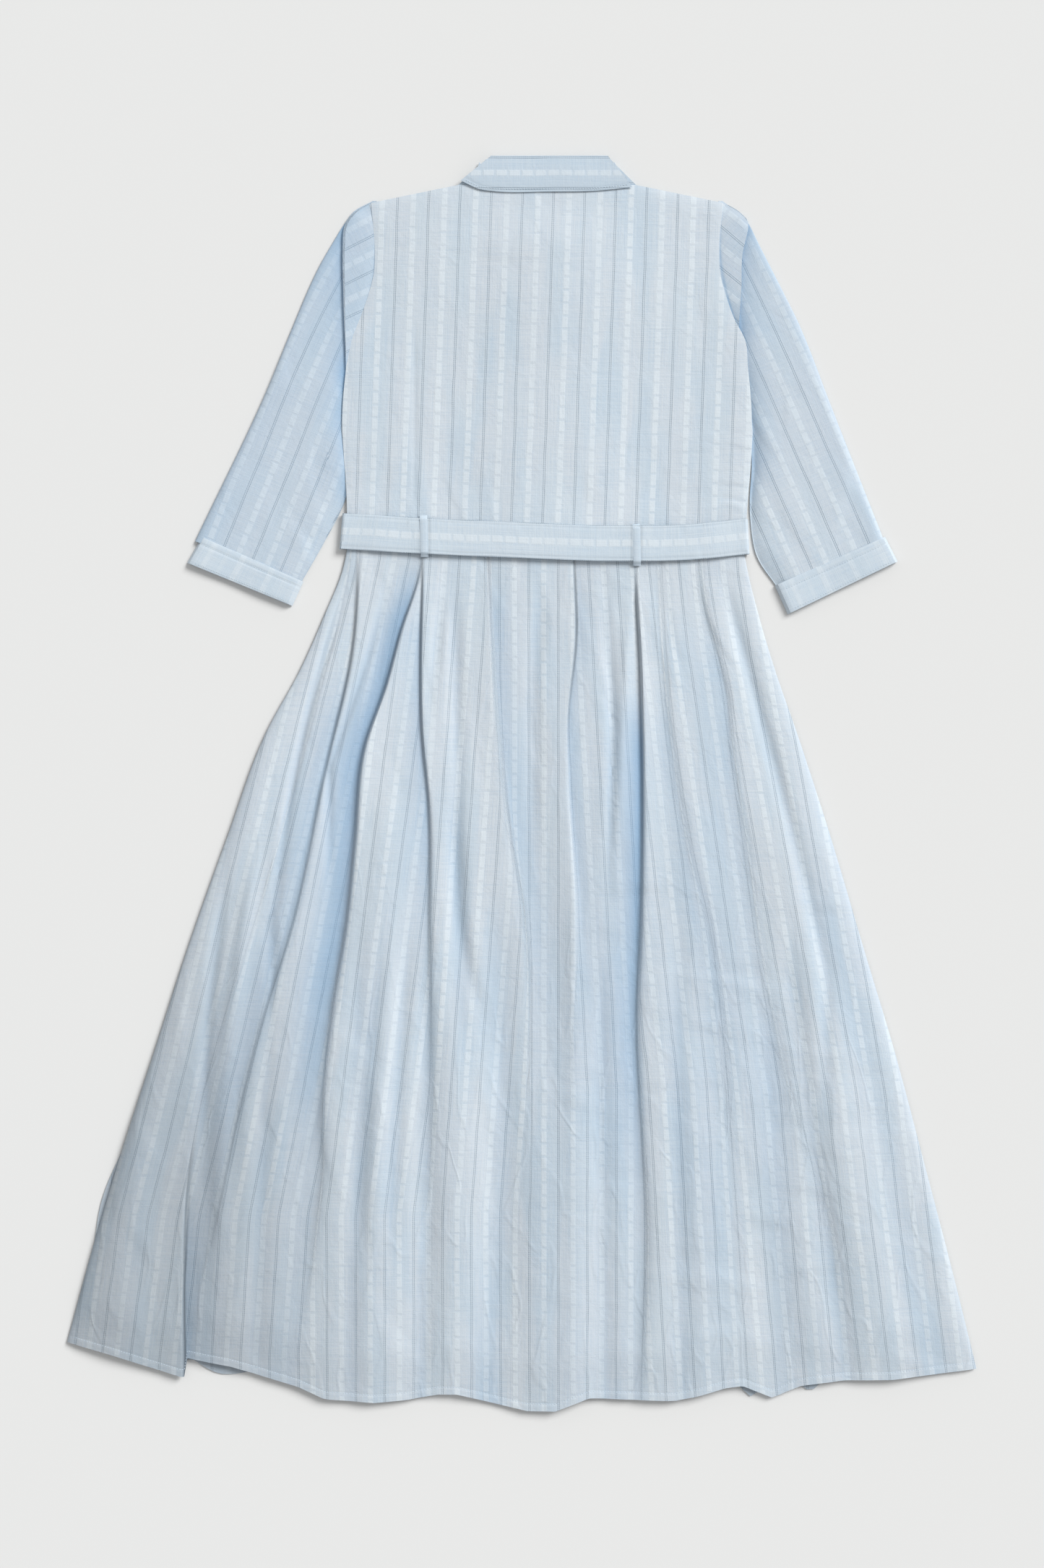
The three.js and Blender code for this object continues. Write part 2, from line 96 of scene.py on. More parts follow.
def makeKey():
    data = bpy.data.lights.new("windowLight", "SUN")
    data.energy = studio["keyStrength"]
    data.angle = math.radians(studio["keySoftness"])
    obj = bpy.data.objects.new("windowLight", data)
    obj.location = studio["keyFrom"]
    scene.collection.objects.link(obj)
    lookDown(obj, (0, 0, 0))


def makeFloor():
    half = studio["floorSize"] / 2
    corners = [(-half, -half, 0), (half, -half, 0), (half, half, 0), (-half, half, 0)]
    mesh = bpy.data.meshes.new("studioFloor")
    mesh.from_pydata(corners, [], [(0, 1, 2, 3)])
    obj = bpy.data.objects.new("studioFloor", mesh)
    obj.location.z = -studio["floorDrop"]
    scene.collection.objects.link(obj)
    paint = bpy.data.materials.new("paperFloor")
    paint.use_nodes = True
    shader = paint.node_tree.nodes["Principled BSDF"]
    shader.inputs["Base Color"].default_value = (*studio["floorTone"], 1)
    shader.inputs["Roughness"].default_value = studio["floorRoughness"]
    shader.inputs["Specular IOR Level"].default_value = studio["floorGloss"]
    mesh.materials.append(paint)


def makeSky():
    world = bpy.data.worlds.new("studioSky")
    world.use_nodes = True
    back = world.node_tree.nodes["Background"]
    back.inputs["Color"].default_value = (*studio["skyTone"], 1)
    back.inputs["Strength"].default_value = studio["skyStrength"]
    scene.world = world


makeCamera()
makeKey()
makeFloor()
makeSky()
print("studio ready")


# ---- cloth, thread and button finishes

clothLook = {
    "pitch": 0.0336,  # from one openwork ladder to the next
    "wander": 0.0016,  # how far the stripes stray sideways
    "ladderHalf": 0.0009,  # each column of holes from the ladder's middle
    "holeStep": 0.00125,
    "holeWidth": (0.00025, 0.00062),  # full up to the first value, gone at the second
    "holeLength": (0.20, 0.40),
    "holeDepth": (0.40, 0.7),  # at least, and what wear adds
    "bedWidth": (0.0014, 0.0026),
    "bedShare": 0.16,
    "dashHalf": 0.0029,
    "dashStep": 0.0140,
    "dashLength": 0.0111,
    "dashHop": 0.37,  # how each stripe's dashes start against the last stripe's
    "dashEdge": (0.0006, 0.0007),
    "dashFray": 0.0014,
    "dashShine": (0.20, 0.9),  # at least, and what wear adds
    "haloWidth": (0.0025, 0.0042),
    "haloShare": 0.22,
    "ground": (0.59, 0.675, 0.735),
    "coolGround": (0.525, 0.635, 0.725),
    "coolFrom": (0.36, 0.64),
    "warmGround": (0.632, 0.688, 0.738),
    "warmFrom": (0.62, 0.40),
    "warmShare": 0.55,
    "stiffShare": 0.45,
    "slubFrom": (0.75, 1.15),
    "slubShare": 0.16,
    "holeTone": (0.20, 0.27, 0.34),
    "satinTone": (0.70, 0.765, 0.81),
    # the next tone colours the slubs and also the painted shade in fold valleys; the one after it is the dark
    # of painted shade and painted shadow
    "slubAndShadeTone": (0.22, 0.39, 0.59),
    "shadeTone": (0.05, 0.06, 0.07),
    "roughness": 0.86,
    "dashGloss": 0.22,
    "gloss": 0.25,
    "sheen": 0.08,
    "sheenRoughness": 0.5,
    "weaveStep": 0.0009,
    "ridgeWidth": 0.045,
}

clothNoise = {  # rates across and along the stripes, detail, roughness, distortion, offset
    "drift": (6, 22, 1, 0.5, 0, 0),
    "wear": (7.3, 9, 2, 0.5, 0, 0),
    "fray": (900, 900, 1, 0.5, 0, 0),
    "blotch": (9, 4.5, 3, 0.5, 0, 0),
    "warmth": (31, 6, 2, 0.5, 0, 4),
    "warp": (1100, 16, 2, 0.5, 0, 0),
    "weft": (22, 1000, 2, 0.5, 0, 0),
    "rumple": (34, 26, 4, 0.55, 0.6, 0),
    "crimp": (140, 190, 3, 0.6, 0.3, 3),
    "ridge": (19, 9, 2, 0.45, 0.35, 8),
}

clothRelief = {  # depth in metres, strength
    "rumple": (0.0024, 0.50),
    "stiffRumple": (0.0024, 0.22),
    "ridge": (0.0009, 0.30),
    "crimp": (0.0008, 0.35),
    "fine": (0.00022, 0.8),
}

fineShares = {"weave": 0.25, "threads": 0.8, "dash": 0.9, "holes": 1.2}


class NodeDesk:
    def __init__(self, name):
        self.material = bpy.data.materials.new(name)
        self.material.use_nodes = True
        self.tree = self.material.node_tree
        self.shader = self.tree.nodes["Principled BSDF"]

    def plug(self, value, socket):
        if isinstance(value, bpy.types.NodeSocket):
            self.tree.links.new(value, socket)
        else:
            socket.default_value = value

    def math(self, operation, first, second=0.0, third=None):
        made = self.tree.nodes.new("ShaderNodeMath")
        made.operation = operation
        self.plug(first, made.inputs[0])
        self.plug(second, made.inputs[1])
        if third is not None:
            self.plug(third, made.inputs[2])
        return made.outputs[0]

    def plus(self, first, second):
        return self.math("ADD", first, second)

    def minus(self, first, second):
        return self.math("SUBTRACT", first, second)

    def times(self, first, second):
        return self.math("MULTIPLY", first, second)

    def gap(self, first, second):
        return self.math("ABSOLUTE", self.minus(first, second))

    def turns(self, value, step):  # 0 to 1 over each step
        return self.math("FRACT", self.math("DIVIDE", value, step))

    def fade(self, value, low, high):  # 1 below low, 0 above high
        made = self.tree.nodes.new("ShaderNodeMapRange")
        made.interpolation_type = "SMOOTHSTEP"
        self.plug(value, made.inputs["Value"])
        made.inputs["From Min"].default_value = low
        made.inputs["From Max"].default_value = high
        made.inputs["To Min"].default_value = 1
        made.inputs["To Max"].default_value = 0
        return made.outputs["Result"]

    def spot(self, x, y, z=0.0):
        made = self.tree.nodes.new("ShaderNodeCombineXYZ")
        self.plug(x, made.inputs[0])
        self.plug(y, made.inputs[1])
        self.plug(z, made.inputs[2])
        return made.outputs[0]

    def noise(self, where, detail=2.0, rough=0.5, scale=1.0, twist=0.0):
        made = self.tree.nodes.new("ShaderNodeTexNoise")
        self.plug(where, made.inputs["Vector"])
        made.inputs["Scale"].default_value = scale
        made.inputs["Detail"].default_value = detail
        made.inputs["Roughness"].default_value = rough
        made.inputs["Distortion"].default_value = twist
        return made.outputs["Fac"]

    def cloud(self, u, v, key):  # one of the cloth's noises at its own rates
        uRate, vRate, detail, rough, twist, offset = clothNoise[key]
        where = self.spot(self.times(u, uRate), self.times(v, vRate), offset)
        return self.noise(where, detail, rough, 1.0, twist)

    def painted(self, name):  # a value that the mesh carries
        made = self.tree.nodes.new("ShaderNodeAttribute")
        made.attribute_name = name
        return made.outputs["Fac"]

    def mix(self, share, first, second):
        made = self.tree.nodes.new("ShaderNodeMix")
        made.data_type = "RGBA"
        self.plug(share, made.inputs[0])
        for value, socket in ((first, made.inputs[6]), (second, made.inputs[7])):
            self.plug(value if isinstance(value, bpy.types.NodeSocket) else (*value, 1), socket)
        return made.outputs[2]

    def bump(self, height, distance, strength=1.0, normal=None):
        made = self.tree.nodes.new("ShaderNodeBump")
        made.inputs["Strength"].default_value = strength
        made.inputs["Distance"].default_value = distance
        self.plug(height, made.inputs["Height"])
        if normal is not None:
            self.plug(normal, made.inputs["Normal"])
        return made.outputs["Normal"]


def makeCloth(name, stiff=False, lift=0.0, quiet=0.0):
    # lift pales the cloth, quiet hides its stripes
    desk = NodeDesk(name)
    look = clothLook
    uvNode = desk.tree.nodes.new("ShaderNodeUVMap")
    uvNode.uv_map = "cloth"
    split = desk.tree.nodes.new("ShaderNodeSeparateXYZ")
    desk.tree.links.new(uvNode.outputs[0], split.inputs[0])
    u, v = split.outputs[0], split.outputs[1]
    drift = desk.minus(desk.cloud(u, v, "drift"), 0.5)
    stripes = desk.math("DIVIDE", desk.plus(u, desk.times(drift, look["wander"])), look["pitch"])
    number = desk.math("FLOOR", stripes)
    share = desk.minus(stripes, number)
    fromDash = desk.times(desk.gap(share, 0.5), look["pitch"])
    fromLadder = desk.minus(look["pitch"] / 2, fromDash)

    # openwork ladder: two columns of small holes
    columns = desk.fade(desk.gap(fromLadder, look["ladderHalf"]), *look["holeWidth"])
    holes = desk.fade(desk.gap(desk.turns(v, look["holeStep"]), 0.5), *look["holeLength"])
    wear = desk.cloud(number, v, "wear")
    least, more = look["holeDepth"]
    depth = desk.math("MULTIPLY_ADD", wear, more * (1 - quiet), least * (1 - quiet))
    ladder = desk.times(desk.times(columns, holes), depth)
    bed = desk.times(desk.fade(fromLadder, *look["bedWidth"]), look["bedShare"])

    # satin dashes, each stripe starting at its own height
    hop = desk.math("FRACT", desk.times(number, look["dashHop"]))
    along = desk.math("FRACT", desk.plus(desk.math("DIVIDE", v, look["dashStep"]), hop))
    fromMiddle = desk.times(desk.gap(along, 0.5), look["dashStep"])
    ragged = desk.times(desk.minus(desk.cloud(u, v, "fray"), 0.5), look["dashFray"])
    half, end = look["dashHalf"], look["dashLength"] / 2
    inner, outer = look["dashEdge"]
    wide = desk.fade(desk.plus(fromDash, ragged), half - inner, half + inner)
    long = desk.fade(desk.plus(fromMiddle, ragged), end - inner, end + outer)
    least, more = look["dashShine"]
    lit = desk.math("MULTIPLY_ADD", wear, more * (1 - quiet * 0.5), least * (1 - quiet))
    dash = desk.times(desk.times(wide, long), lit)
    halo = desk.times(desk.fade(fromDash, *look["haloWidth"]), look["haloShare"])

    # ground cloth: cool and warm blotches, warp and weft slubs
    blotch, warmth = desk.cloud(u, v, "blotch"), desk.cloud(u, v, "warmth")
    threads = desk.plus(desk.cloud(u, v, "warp"), desk.cloud(u, v, "weft"))
    tone = desk.mix(desk.fade(blotch, *look["coolFrom"]), look["ground"], look["coolGround"])
    warm = desk.times(desk.fade(warmth, *look["warmFrom"]), look["warmShare"])
    tone = desk.mix(warm, look["warmGround"], tone)
    if stiff:
        tone = desk.mix(look["stiffShare"], tone, look["coolGround"])
    if lift:
        tone = desk.mix(lift, tone, look["satinTone"])
    slub = desk.times(desk.fade(threads, *look["slubFrom"]), look["slubShare"])
    # last comes the painted shade that the mesh carries: bluer shade in fold valleys, and darker painted
    # shade and shadow on creases, under the belt, by the loops and at edges
    shades = [(slub, "slubAndShadeTone"), (bed, "satinTone"), (halo, "satinTone"), (dash, "satinTone"),
              (ladder, "holeTone"), (desk.painted("valley"), "slubAndShadeTone"), (desk.painted("paintedShade"), "shadeTone")]
    for part, shade in shades:
        tone = desk.mix(part, tone, look[shade])
    desk.plug(tone, desk.shader.inputs["Base Color"])
    roughness = desk.minus(look["roughness"], desk.times(dash, look["dashGloss"]))
    desk.plug(roughness, desk.shader.inputs["Roughness"])
    desk.shader.inputs["Specular IOR Level"].default_value = look["gloss"]
    desk.shader.inputs["Sheen Weight"].default_value = look["sheen"]
    desk.shader.inputs["Sheen Roughness"].default_value = look["sheenRoughness"]

    # relief: rumples, ridges, slubs, weave, raised dashes, sunk holes
    over = desk.math("SINE", desk.times(u, math.tau / look["weaveStep"]))
    under = desk.math("SINE", desk.times(v, math.tau / look["weaveStep"]))
    soft = desk.bump(desk.cloud(u, v, "rumple"), *clothRelief["stiffRumple" if stiff else "rumple"])
    if not stiff:
        fromRidge = desk.gap(desk.cloud(u, v, "ridge"), 0.5)
        ridge = desk.times(desk.fade(fromRidge, 0.0, look["ridgeWidth"]), desk.painted("rumpled"))
        soft = desk.bump(ridge, *clothRelief["ridge"], soft)
    soft = desk.bump(desk.cloud(u, v, "crimp"), *clothRelief["crimp"], soft)
    slubs = desk.times(threads, fineShares["threads"])
    fine = desk.math("MULTIPLY_ADD", desk.times(over, under), fineShares["weave"], slubs)
    fine = desk.plus(fine, desk.times(dash, fineShares["dash"]))
    fine = desk.minus(fine, desk.times(ladder, fineShares["holes"]))
    desk.plug(desk.bump(fine, *clothRelief["fine"], soft), desk.shader.inputs["Normal"])
    return desk.material


threadLook = {
    "dark": (0.52, 0.63, 0.72),
    "pale": (0.68, 0.76, 0.82),
    "scale": 2600,
    "roughness": 0.6,
    "relief": (0.0001, 0.6),
}


def makeThread():
    desk = NodeDesk("stitchThread")
    coords = desk.tree.nodes.new("ShaderNodeTexCoord")
    twist = desk.noise(coords.outputs["Object"], 2, 0.5, threadLook["scale"])
    desk.plug(desk.mix(twist, threadLook["dark"], threadLook["pale"]), desk.shader.inputs["Base Color"])
    desk.shader.inputs["Roughness"].default_value = threadLook["roughness"]
    desk.plug(desk.bump(twist, *threadLook["relief"]), desk.shader.inputs["Normal"])
    return desk.material


pearlLook = {
    "dark": (0.72, 0.76, 0.80),
    "pale": (0.86, 0.87, 0.86),
    "scale": 240,
    "roughness": 0.28,
    "coat": 0.35,
    "relief": (0.0002, 0.3),
}


def makePearl():
    desk = NodeDesk("pearlButton")
    coords = desk.tree.nodes.new("ShaderNodeTexCoord")
    cloud = desk.noise(coords.outputs["Object"], 3, 0.55, pearlLook["scale"], 1.2)
    desk.plug(desk.mix(cloud, pearlLook["dark"], pearlLook["pale"]), desk.shader.inputs["Base Color"])
    desk.shader.inputs["Roughness"].default_value = pearlLook["roughness"]
    desk.shader.inputs["Coat Weight"].default_value = pearlLook["coat"]
    desk.plug(desk.bump(cloud, *pearlLook["relief"]), desk.shader.inputs["Normal"])
    return desk.material


dressCloth = makeCloth("stripedCotton")
facedCloth = makeCloth("facedCotton", stiff=True)
beltCloth = makeCloth("beltCotton", stiff=True, lift=0.30)
cuffCloth = makeCloth("cuffCotton", stiff=True, lift=0.18, quiet=0.92)
threadFinish = makeThread()
pearlFinish = makePearl()
print("finishes ready")


# ---- curves and cloth meshes, drawn in millimetres about the centre back

def place(x, y, z=0.0):
    return (x * mm + originX, y * mm + originY, z * mm)


def ease(t):
    t = np.clip(t, 0, 1)
    return t * t * (3 - 2 * t)


def bell(t):
    return np.where(np.abs(t) < 1, (1 - np.clip(np.abs(t), 0, 1) ** 2) ** 2, 0)


def curveThrough(points):
    known = np.array(sorted(points), float)
    place, value = known[:, 0], known[:, 1]
    slope = np.gradient(value, place)

    def at(t):
        t = np.clip(np.asarray(t, float), place[0], place[-1])
        i = np.clip(np.searchsorted(place, t, side="right") - 1, 0, len(place) - 2)
        run = place[i + 1] - place[i]
        s = (t - place[i]) / run
        return ((1 + 2 * s) * (1 - s) ** 2 * value[i] + s * (1 - s) ** 2 * run * slope[i]
                + s * s * (3 - 2 * s) * value[i + 1] + s * s * (s - 1) * run * slope[i + 1])

    return at


def lineThrough(points):  # straight runs between (where, value) points
    known = np.array(sorted(points), float)
    return lambda t: np.interp(t, known[:, 0], known[:, 1])


def gridNormals(points):
    down = np.gradient(points, axis=0)
    across = np.gradient(points, axis=1)
    normal = np.cross(down, across)
    return normal / np.maximum(np.linalg.norm(normal, axis=2, keepdims=True), 1e-9)


def rimOf(rows, columns):  # anticlockwise seen from above
    index = np.arange(rows * columns).reshape(rows, columns)
    return np.concatenate([index[:-1, 0], index[-1, :-1], index[:0:-1, -1], index[0, :0:-1]])


def buildMesh(name, points, faces, corners, valley=None, paintedShade=None, rumpled=None):
    mesh = bpy.data.meshes.new(name)
    mesh.from_pydata((points * mm + place(0, 0)).tolist(), [], faces.tolist())
    layer = mesh.uv_layers.new(name="cloth")
    layer.data.foreach_set("uv", (corners * mm).astype(np.float32).ravel())
    # the first two values are painted shade for the cloth's colour; rumpled says where the ridge bump is
    for key, values in (("valley", valley), ("paintedShade", paintedShade), ("rumpled", rumpled)):
        if values is not None:
            tint = mesh.attributes.new(key, "FLOAT", "POINT")
            tint.data.foreach_set("value", values.astype(np.float32).ravel())
    mesh.polygons.foreach_set("use_smooth", [True] * len(mesh.polygons))
    mesh.set_sharp_from_angle(angle=math.radians(40))
    mesh.validate()
    obj = bpy.data.objects.new(name, mesh)
    scene.collection.objects.link(obj)
    return obj


def fourOf(grid):  # the corners of each square of a grid, as four columns
    return np.stack([grid[:-1, :-1], grid[1:, :-1], grid[1:, 1:], grid[:-1, 1:]], 2).reshape(-1, 4)


def clothSheet(name, x, y, z, u, v, thick=0.6, valley=None, paintedShade=None, rumpled=None):
    # One ply from a grid whose columns run to the right. Its valley values and the values after them carry
    # painted shade.
    points = np.stack(np.broadcast_arrays(x, y, z), 2).astype(float)
    uv = np.stack(np.broadcast_arrays(u, v), 2).reshape(-1, 2)
    rows, columns = points.shape[:2]
    faces = fourOf(np.arange(rows * columns).reshape(rows, columns))
    first = points.reshape(-1, 3)
    second = first - gridNormals(points).reshape(-1, 3) * thick
    count = len(first)
    here = rimOf(rows, columns)
    after = np.roll(here, -1)
    rim = np.stack([after, here, here + count, after + count], 1)
    allFaces = np.concatenate([faces, faces[:, ::-1] + count, rim])
    shades = [None if value is None else np.tile(value.ravel(), 2) for value in (valley, paintedShade, rumpled)]
    return buildMesh(name, np.concatenate([first, second]), allFaces, uv[allFaces % count], *shades)


def clothTube(name, rings, u, v, thick, valley):
    # A tube of cloth from closed rings of points. u and v have one more column than the rings. valley carries
    # painted shade.
    rows, columns = rings.shape[:2]
    index = np.arange(rows * columns).reshape(rows, columns)
    wrapped = np.concatenate([index, index[:, :1]], 1)
    flat = np.arange(rows * (columns + 1)).reshape(rows, columns + 1)
    faces, spots = fourOf(wrapped), fourOf(flat)
    uv = np.stack([u, v], 2).reshape(-1, 2)
    down = np.gradient(rings, axis=0)
    across = np.roll(rings, -1, axis=1) - np.roll(rings, 1, axis=1)
    normal = np.cross(down, across)
    normal /= np.maximum(np.linalg.norm(normal, axis=2, keepdims=True), 1e-9)
    outside = rings.reshape(-1, 3)
    inside = outside - normal.reshape(-1, 3) * thick
    count = len(outside)
    firstHere, firstNext = wrapped[0, :-1], wrapped[0, 1:]
    lastHere, lastNext = wrapped[-1, :-1], wrapped[-1, 1:]
    mouth = np.stack([firstHere, firstNext, firstNext + count, firstHere + count], 1)
    end = np.stack([lastNext, lastHere, lastHere + count, lastNext + count], 1)
    mouthSpots = np.stack([flat[0, :-1], flat[0, 1:], flat[0, 1:], flat[0, :-1]], 1)
    endSpots = np.stack([flat[-1, 1:], flat[-1, :-1], flat[-1, :-1], flat[-1, 1:]], 1)
    allFaces = np.concatenate([faces, faces[:, ::-1] + count, mouth, end])
    allSpots = np.concatenate([spots, spots[:, ::-1], mouthSpots, endSpots])
    points = np.concatenate([outside, inside])
    return buildMesh(name, points, allFaces, uv[allSpots], np.tile(valley.ravel(), 2))


def finish(obj, material, slotName, *nodes, body=None):
    obj.data.materials.clear()
    obj.data.materials.append(material)
    if nodes:
        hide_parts(*nodes)
    if body:
        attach(obj, body)


def creases(x, y, seed, count, area, angles, length, width, height):
    # Short pressed creases scattered over (left, right, low, high).
    rng = np.random.default_rng(seed)
    total = np.zeros_like(x)
    for _ in range(count):
        cx, cy = rng.uniform(area[0], area[1]), rng.uniform(area[2], area[3])
        angle = math.radians(rng.uniform(*angles))
        long, wide, tall = rng.uniform(*length), rng.uniform(*width), rng.uniform(*height)
        bend = rng.uniform(-0.004, 0.004)
        along = (x - cx) * math.cos(angle) + (y - cy) * math.sin(angle)
        off = (y - cy) * math.cos(angle) - (x - cx) * math.sin(angle) - bend * along ** 2
        fall = np.exp(-(along / long) ** 2) * np.exp(-np.abs(off) / (3 * wide))
        total += tall * fall * np.tanh(off / wide)
    return total


stitchLook = {"first": 0.6, "length": 2.1, "step": 3.0, "width": 0.30, "height": 0.16}


def stitchRow(name, path, slotName, body):
    # Small raised stitches along a path of points.
    look = stitchLook
    run = np.concatenate([[0], np.cumsum(np.linalg.norm(np.diff(path, axis=0), axis=1))])
    starts = np.arange(look["first"], run[-1] - look["length"], look["step"])
    head = np.stack([np.interp(starts, run, path[:, k]) for k in range(3)], 1)
    tail = np.stack([np.interp(starts + look["length"], run, path[:, k]) for k in range(3)], 1)
    way = tail - head
    way /= np.linalg.norm(way, axis=1, keepdims=True)
    side = np.stack([-way[:, 1], way[:, 0], 0 * way[:, 0]], 1) * look["width"]
    up = np.array([0, 0, look["height"]])
    points = []
    for share, size in ((0.15, 0.8), (0.5, 1.0), (0.85, 0.8)):
        middle = head + (tail - head) * share
        points += [middle + side * size, middle + up * size, middle - side * size, middle - up]
    points += [head - up * 0.6, tail - up * 0.6]
    places = np.stack(points, 1)
    first = (np.arange(len(starts)) * places.shape[1])[:, None, None]
    ring = [[r * 4 + k, r * 4 + (k + 1) % 4, (r + 1) * 4 + (k + 1) % 4, (r + 1) * 4 + k]
            for r in (0, 1) for k in range(4)]
    tips = [[12, (k + 1) % 4, k] for k in range(4)] + [[13, 8 + k, 8 + (k + 1) % 4] for k in range(4)]
    quads = (first + np.array(ring)).reshape(-1, 4)
    triangles = (first + np.array(tips)).reshape(-1, 3)
    spots = places.reshape(-1, 3) * mm + place(0, 0)
    mesh = bpy.data.meshes.new(name)
    mesh.from_pydata(spots.tolist(), [], quads.tolist() + triangles.tolist())
    mesh.polygons.foreach_set("use_smooth", [True] * len(mesh.polygons))
    obj = bpy.data.objects.new(name, mesh)
    scene.collection.objects.link(obj)
    finish(obj, threadFinish, slotName, body=body)


# ---- shared outlines and levels

dress = {
    "neckHalf": 97,
    "neckY": 645.5,
    "shoulderHalf": 191,
    "shoulderY": 627,
    "waistHalf": 214,
    "waistLow": 259.5,
    "waistLowX": 40,
    "waistSag": 2.0e-4,
    "foldY": -262,
}

bodiceSide = curveThrough([(627, 190), (577, 186), (551, 187), (521, 195), (500, 203), (481, 213),
    (448, 217), (394, 221), (350, 219), (315, 216), (275, 213.5), (240, 213)])


def waistLine(x):
    return dress["waistLow"] + dress["waistSag"] * (x - dress["waistLowX"]) ** 2


def topLine(x):
    drop = (dress["neckY"] - dress["shoulderY"]) / (dress["shoulderHalf"] - dress["neckHalf"])
    return dress["neckY"] - drop * np.maximum(np.abs(x) - dress["neckHalf"], 0)


def placketHump(x, y):
    return bell(x / 110) * ease((y - 150) / 112) * (1 - ease((y - 575) / 55))


def bodiceLevel(x, y):  # top of the back's cloth
    collarRise = 2.2 * ease((y - 440) / 105) * (1 - ease((np.abs(x) - 100) / 80))
    beltRise = 2.6 * bell((y - waistLine(x)) / 60)
    return 4.0 + 4.2 * placketHump(x, y) + collarRise + 0.6 * beltRise


# ---- back bodice

backLook = {
    "columns": 190,
    "rows": 170,
    "cloth": 0.6,
    "tuck": 12,
    "sideDip": 1.0,
    "topDip": 1.2,
    "wave": 0.5,
    "pucker": 0.385,
    "press": 0.9,
    "stripeShift": 7,
    "stripeLean": 0.034,
    "stripeTop": 632,
    "flat": (0.446, 0.384),
    "area": 0.155,
    "creases": [  # seed, count, area, angles, length, width, height
        (5, 46, (-200, 200, 270, 640), (-12, 14), (14, 40), (2.2, 4), (-0.30, 0.30)),
        (8, 26, (-210, 210, 262, 350), (60, 120), (16, 36), (2.4, 5), (-0.55, 0.55)),
        (9, 7, (160, 212, 300, 380), (-30, 15), (10, 26), (1.8, 3.0), (-0.8, 0.8)),
    ],
}


def makeBackBodice():
    look = backLook
    s = np.linspace(-1, 1, look["columns"])[None, :]
    t = np.linspace(0, 1, look["rows"])[:, None]
    high = topLine(s * dress["shoulderHalf"])
    low = waistLine(s * dress["waistHalf"]) - look["tuck"]
    y = high + t * (low - high)
    x = s * bodiceSide(y) - 2 * ease((330 - y) / 60)
    side = bodiceSide(y) * (1 - np.abs(s))
    z = bodiceLevel(x, y) - look["sideDip"] * np.exp(-side / 7) - look["topDip"] * np.exp(-(high - y) / 5)
    inside = ease(side / 40) * ease((high - y) / 60)
    z = z + look["wave"] * np.sin(x / 31 + 0.9 * np.sin(y / 90)) * inside
    z = z + look["pucker"] * bell((y - 330) / 60) * np.sin(x / 17 + y / 80)
    pressed = ease((515 - y) / 60) * ease((y - 285) / 40)
    z = z - look["press"] * np.exp(-((x + 143) / 3.0) ** 2) * pressed
    for row in look["creases"]:
        z = z + creases(x, y, *row)
    u = x - look["stripeShift"] + look["stripeLean"] * (look["stripeTop"] - y)
    obj = clothSheet("backBodice", x, y, z, u, y, look["cloth"])
    finish(obj, dressCloth, "dress_cloth", "back_bodice", body="bodice")


makeBackBodice()
print("back bodice made")


# ---- skirt

skirtLook = {
    "rows": 172,
    "hemRows": [12, 10, 9, 8, 7, 5, 2, 0],  # mm up from the hem
    "length": 940,
    "columns": [30, 10, 34, 26, 30, 30, 32, 16, 24, 36],  # from fold to fold
    "cloth": 0.6,
    "topTuck": 8,
    "level": 5.0,
    "rise": 6.0,
    "ripple": 0.9,
    # painted shade along the ripples' hollows
    "rippleShade": 0.05,
    "frontLevel": 1.3,
    "stripeShift": 12,
    "flat": (1.06, 0.93),
    "area": 0.80,
    "frontRows": 120,
    "frontColumns": 130,
    "frontFlat": (0.99, 0.93),
    "frontArea": 0.64,
    # painted shade on the front ply lying beneath the back; the same value sets its rumple strength
    "frontDim": 0.30,
    "foldHalf": 30,  # mm of cloth that bends each side of the fold line
    "creases": [  # in the lower part only, seed, count, area, angles, length, width, height
        (True, 21, 60, (60, 420, -640, -90), (-18, 14), (20, 70), (3.0, 6), (-1.1, 1.1)),
        (True, 22, 70, (-480, -60, -640, -150), (60, 125), (20, 70), (3.0, 6), (-1.2, 1.2)),
        (False, 23, 40, (-200, 200, -100, 236), (60, 120), (16, 60), (2.5, 5), (-0.8, 0.8)),
        (True, 24, 26, (-80, 200, -600, -200), (-35, 110), (14, 50), (2.6, 5), (-1.1, 1.1)),
    ],
}

skirtLeft = curveThrough([(285, -214), (259, -215), (235, -219.5), (180, -241), (120, -268),
    (60, -301), (-57, -345), (-175, -387), (-292, -425), (-409, -463), (-500, -490), (-603, -518)])
skirtRight = curveThrough([(285, 211.5), (259, 211.5), (235, 215.5), (180, 229), (120, 247),
    (60, 268), (-57, 306), (-175, 341), (-292, 376), (-409, 407), (-520, 436), (-631, 463.5)])
hemY = lineThrough([(-530, -598), (-518, -602), (-470, -615), (-430, -628), (-395, -639),
    (-391, -639), (-388, -619), (-340, -628), (-268, -650), (-240, -663), (-186, -667),
    (-150, -664), (-117, -658), (-97, -658), (-48, -670), (-21, -676), (9, -676), (45, -662),
    (101, -664), (137, -665), (162, -660), (193, -651), (211, -649), (243, -662), (274, -649),
    (318, -643), (372, -642), (463, -631), (480, -628)])
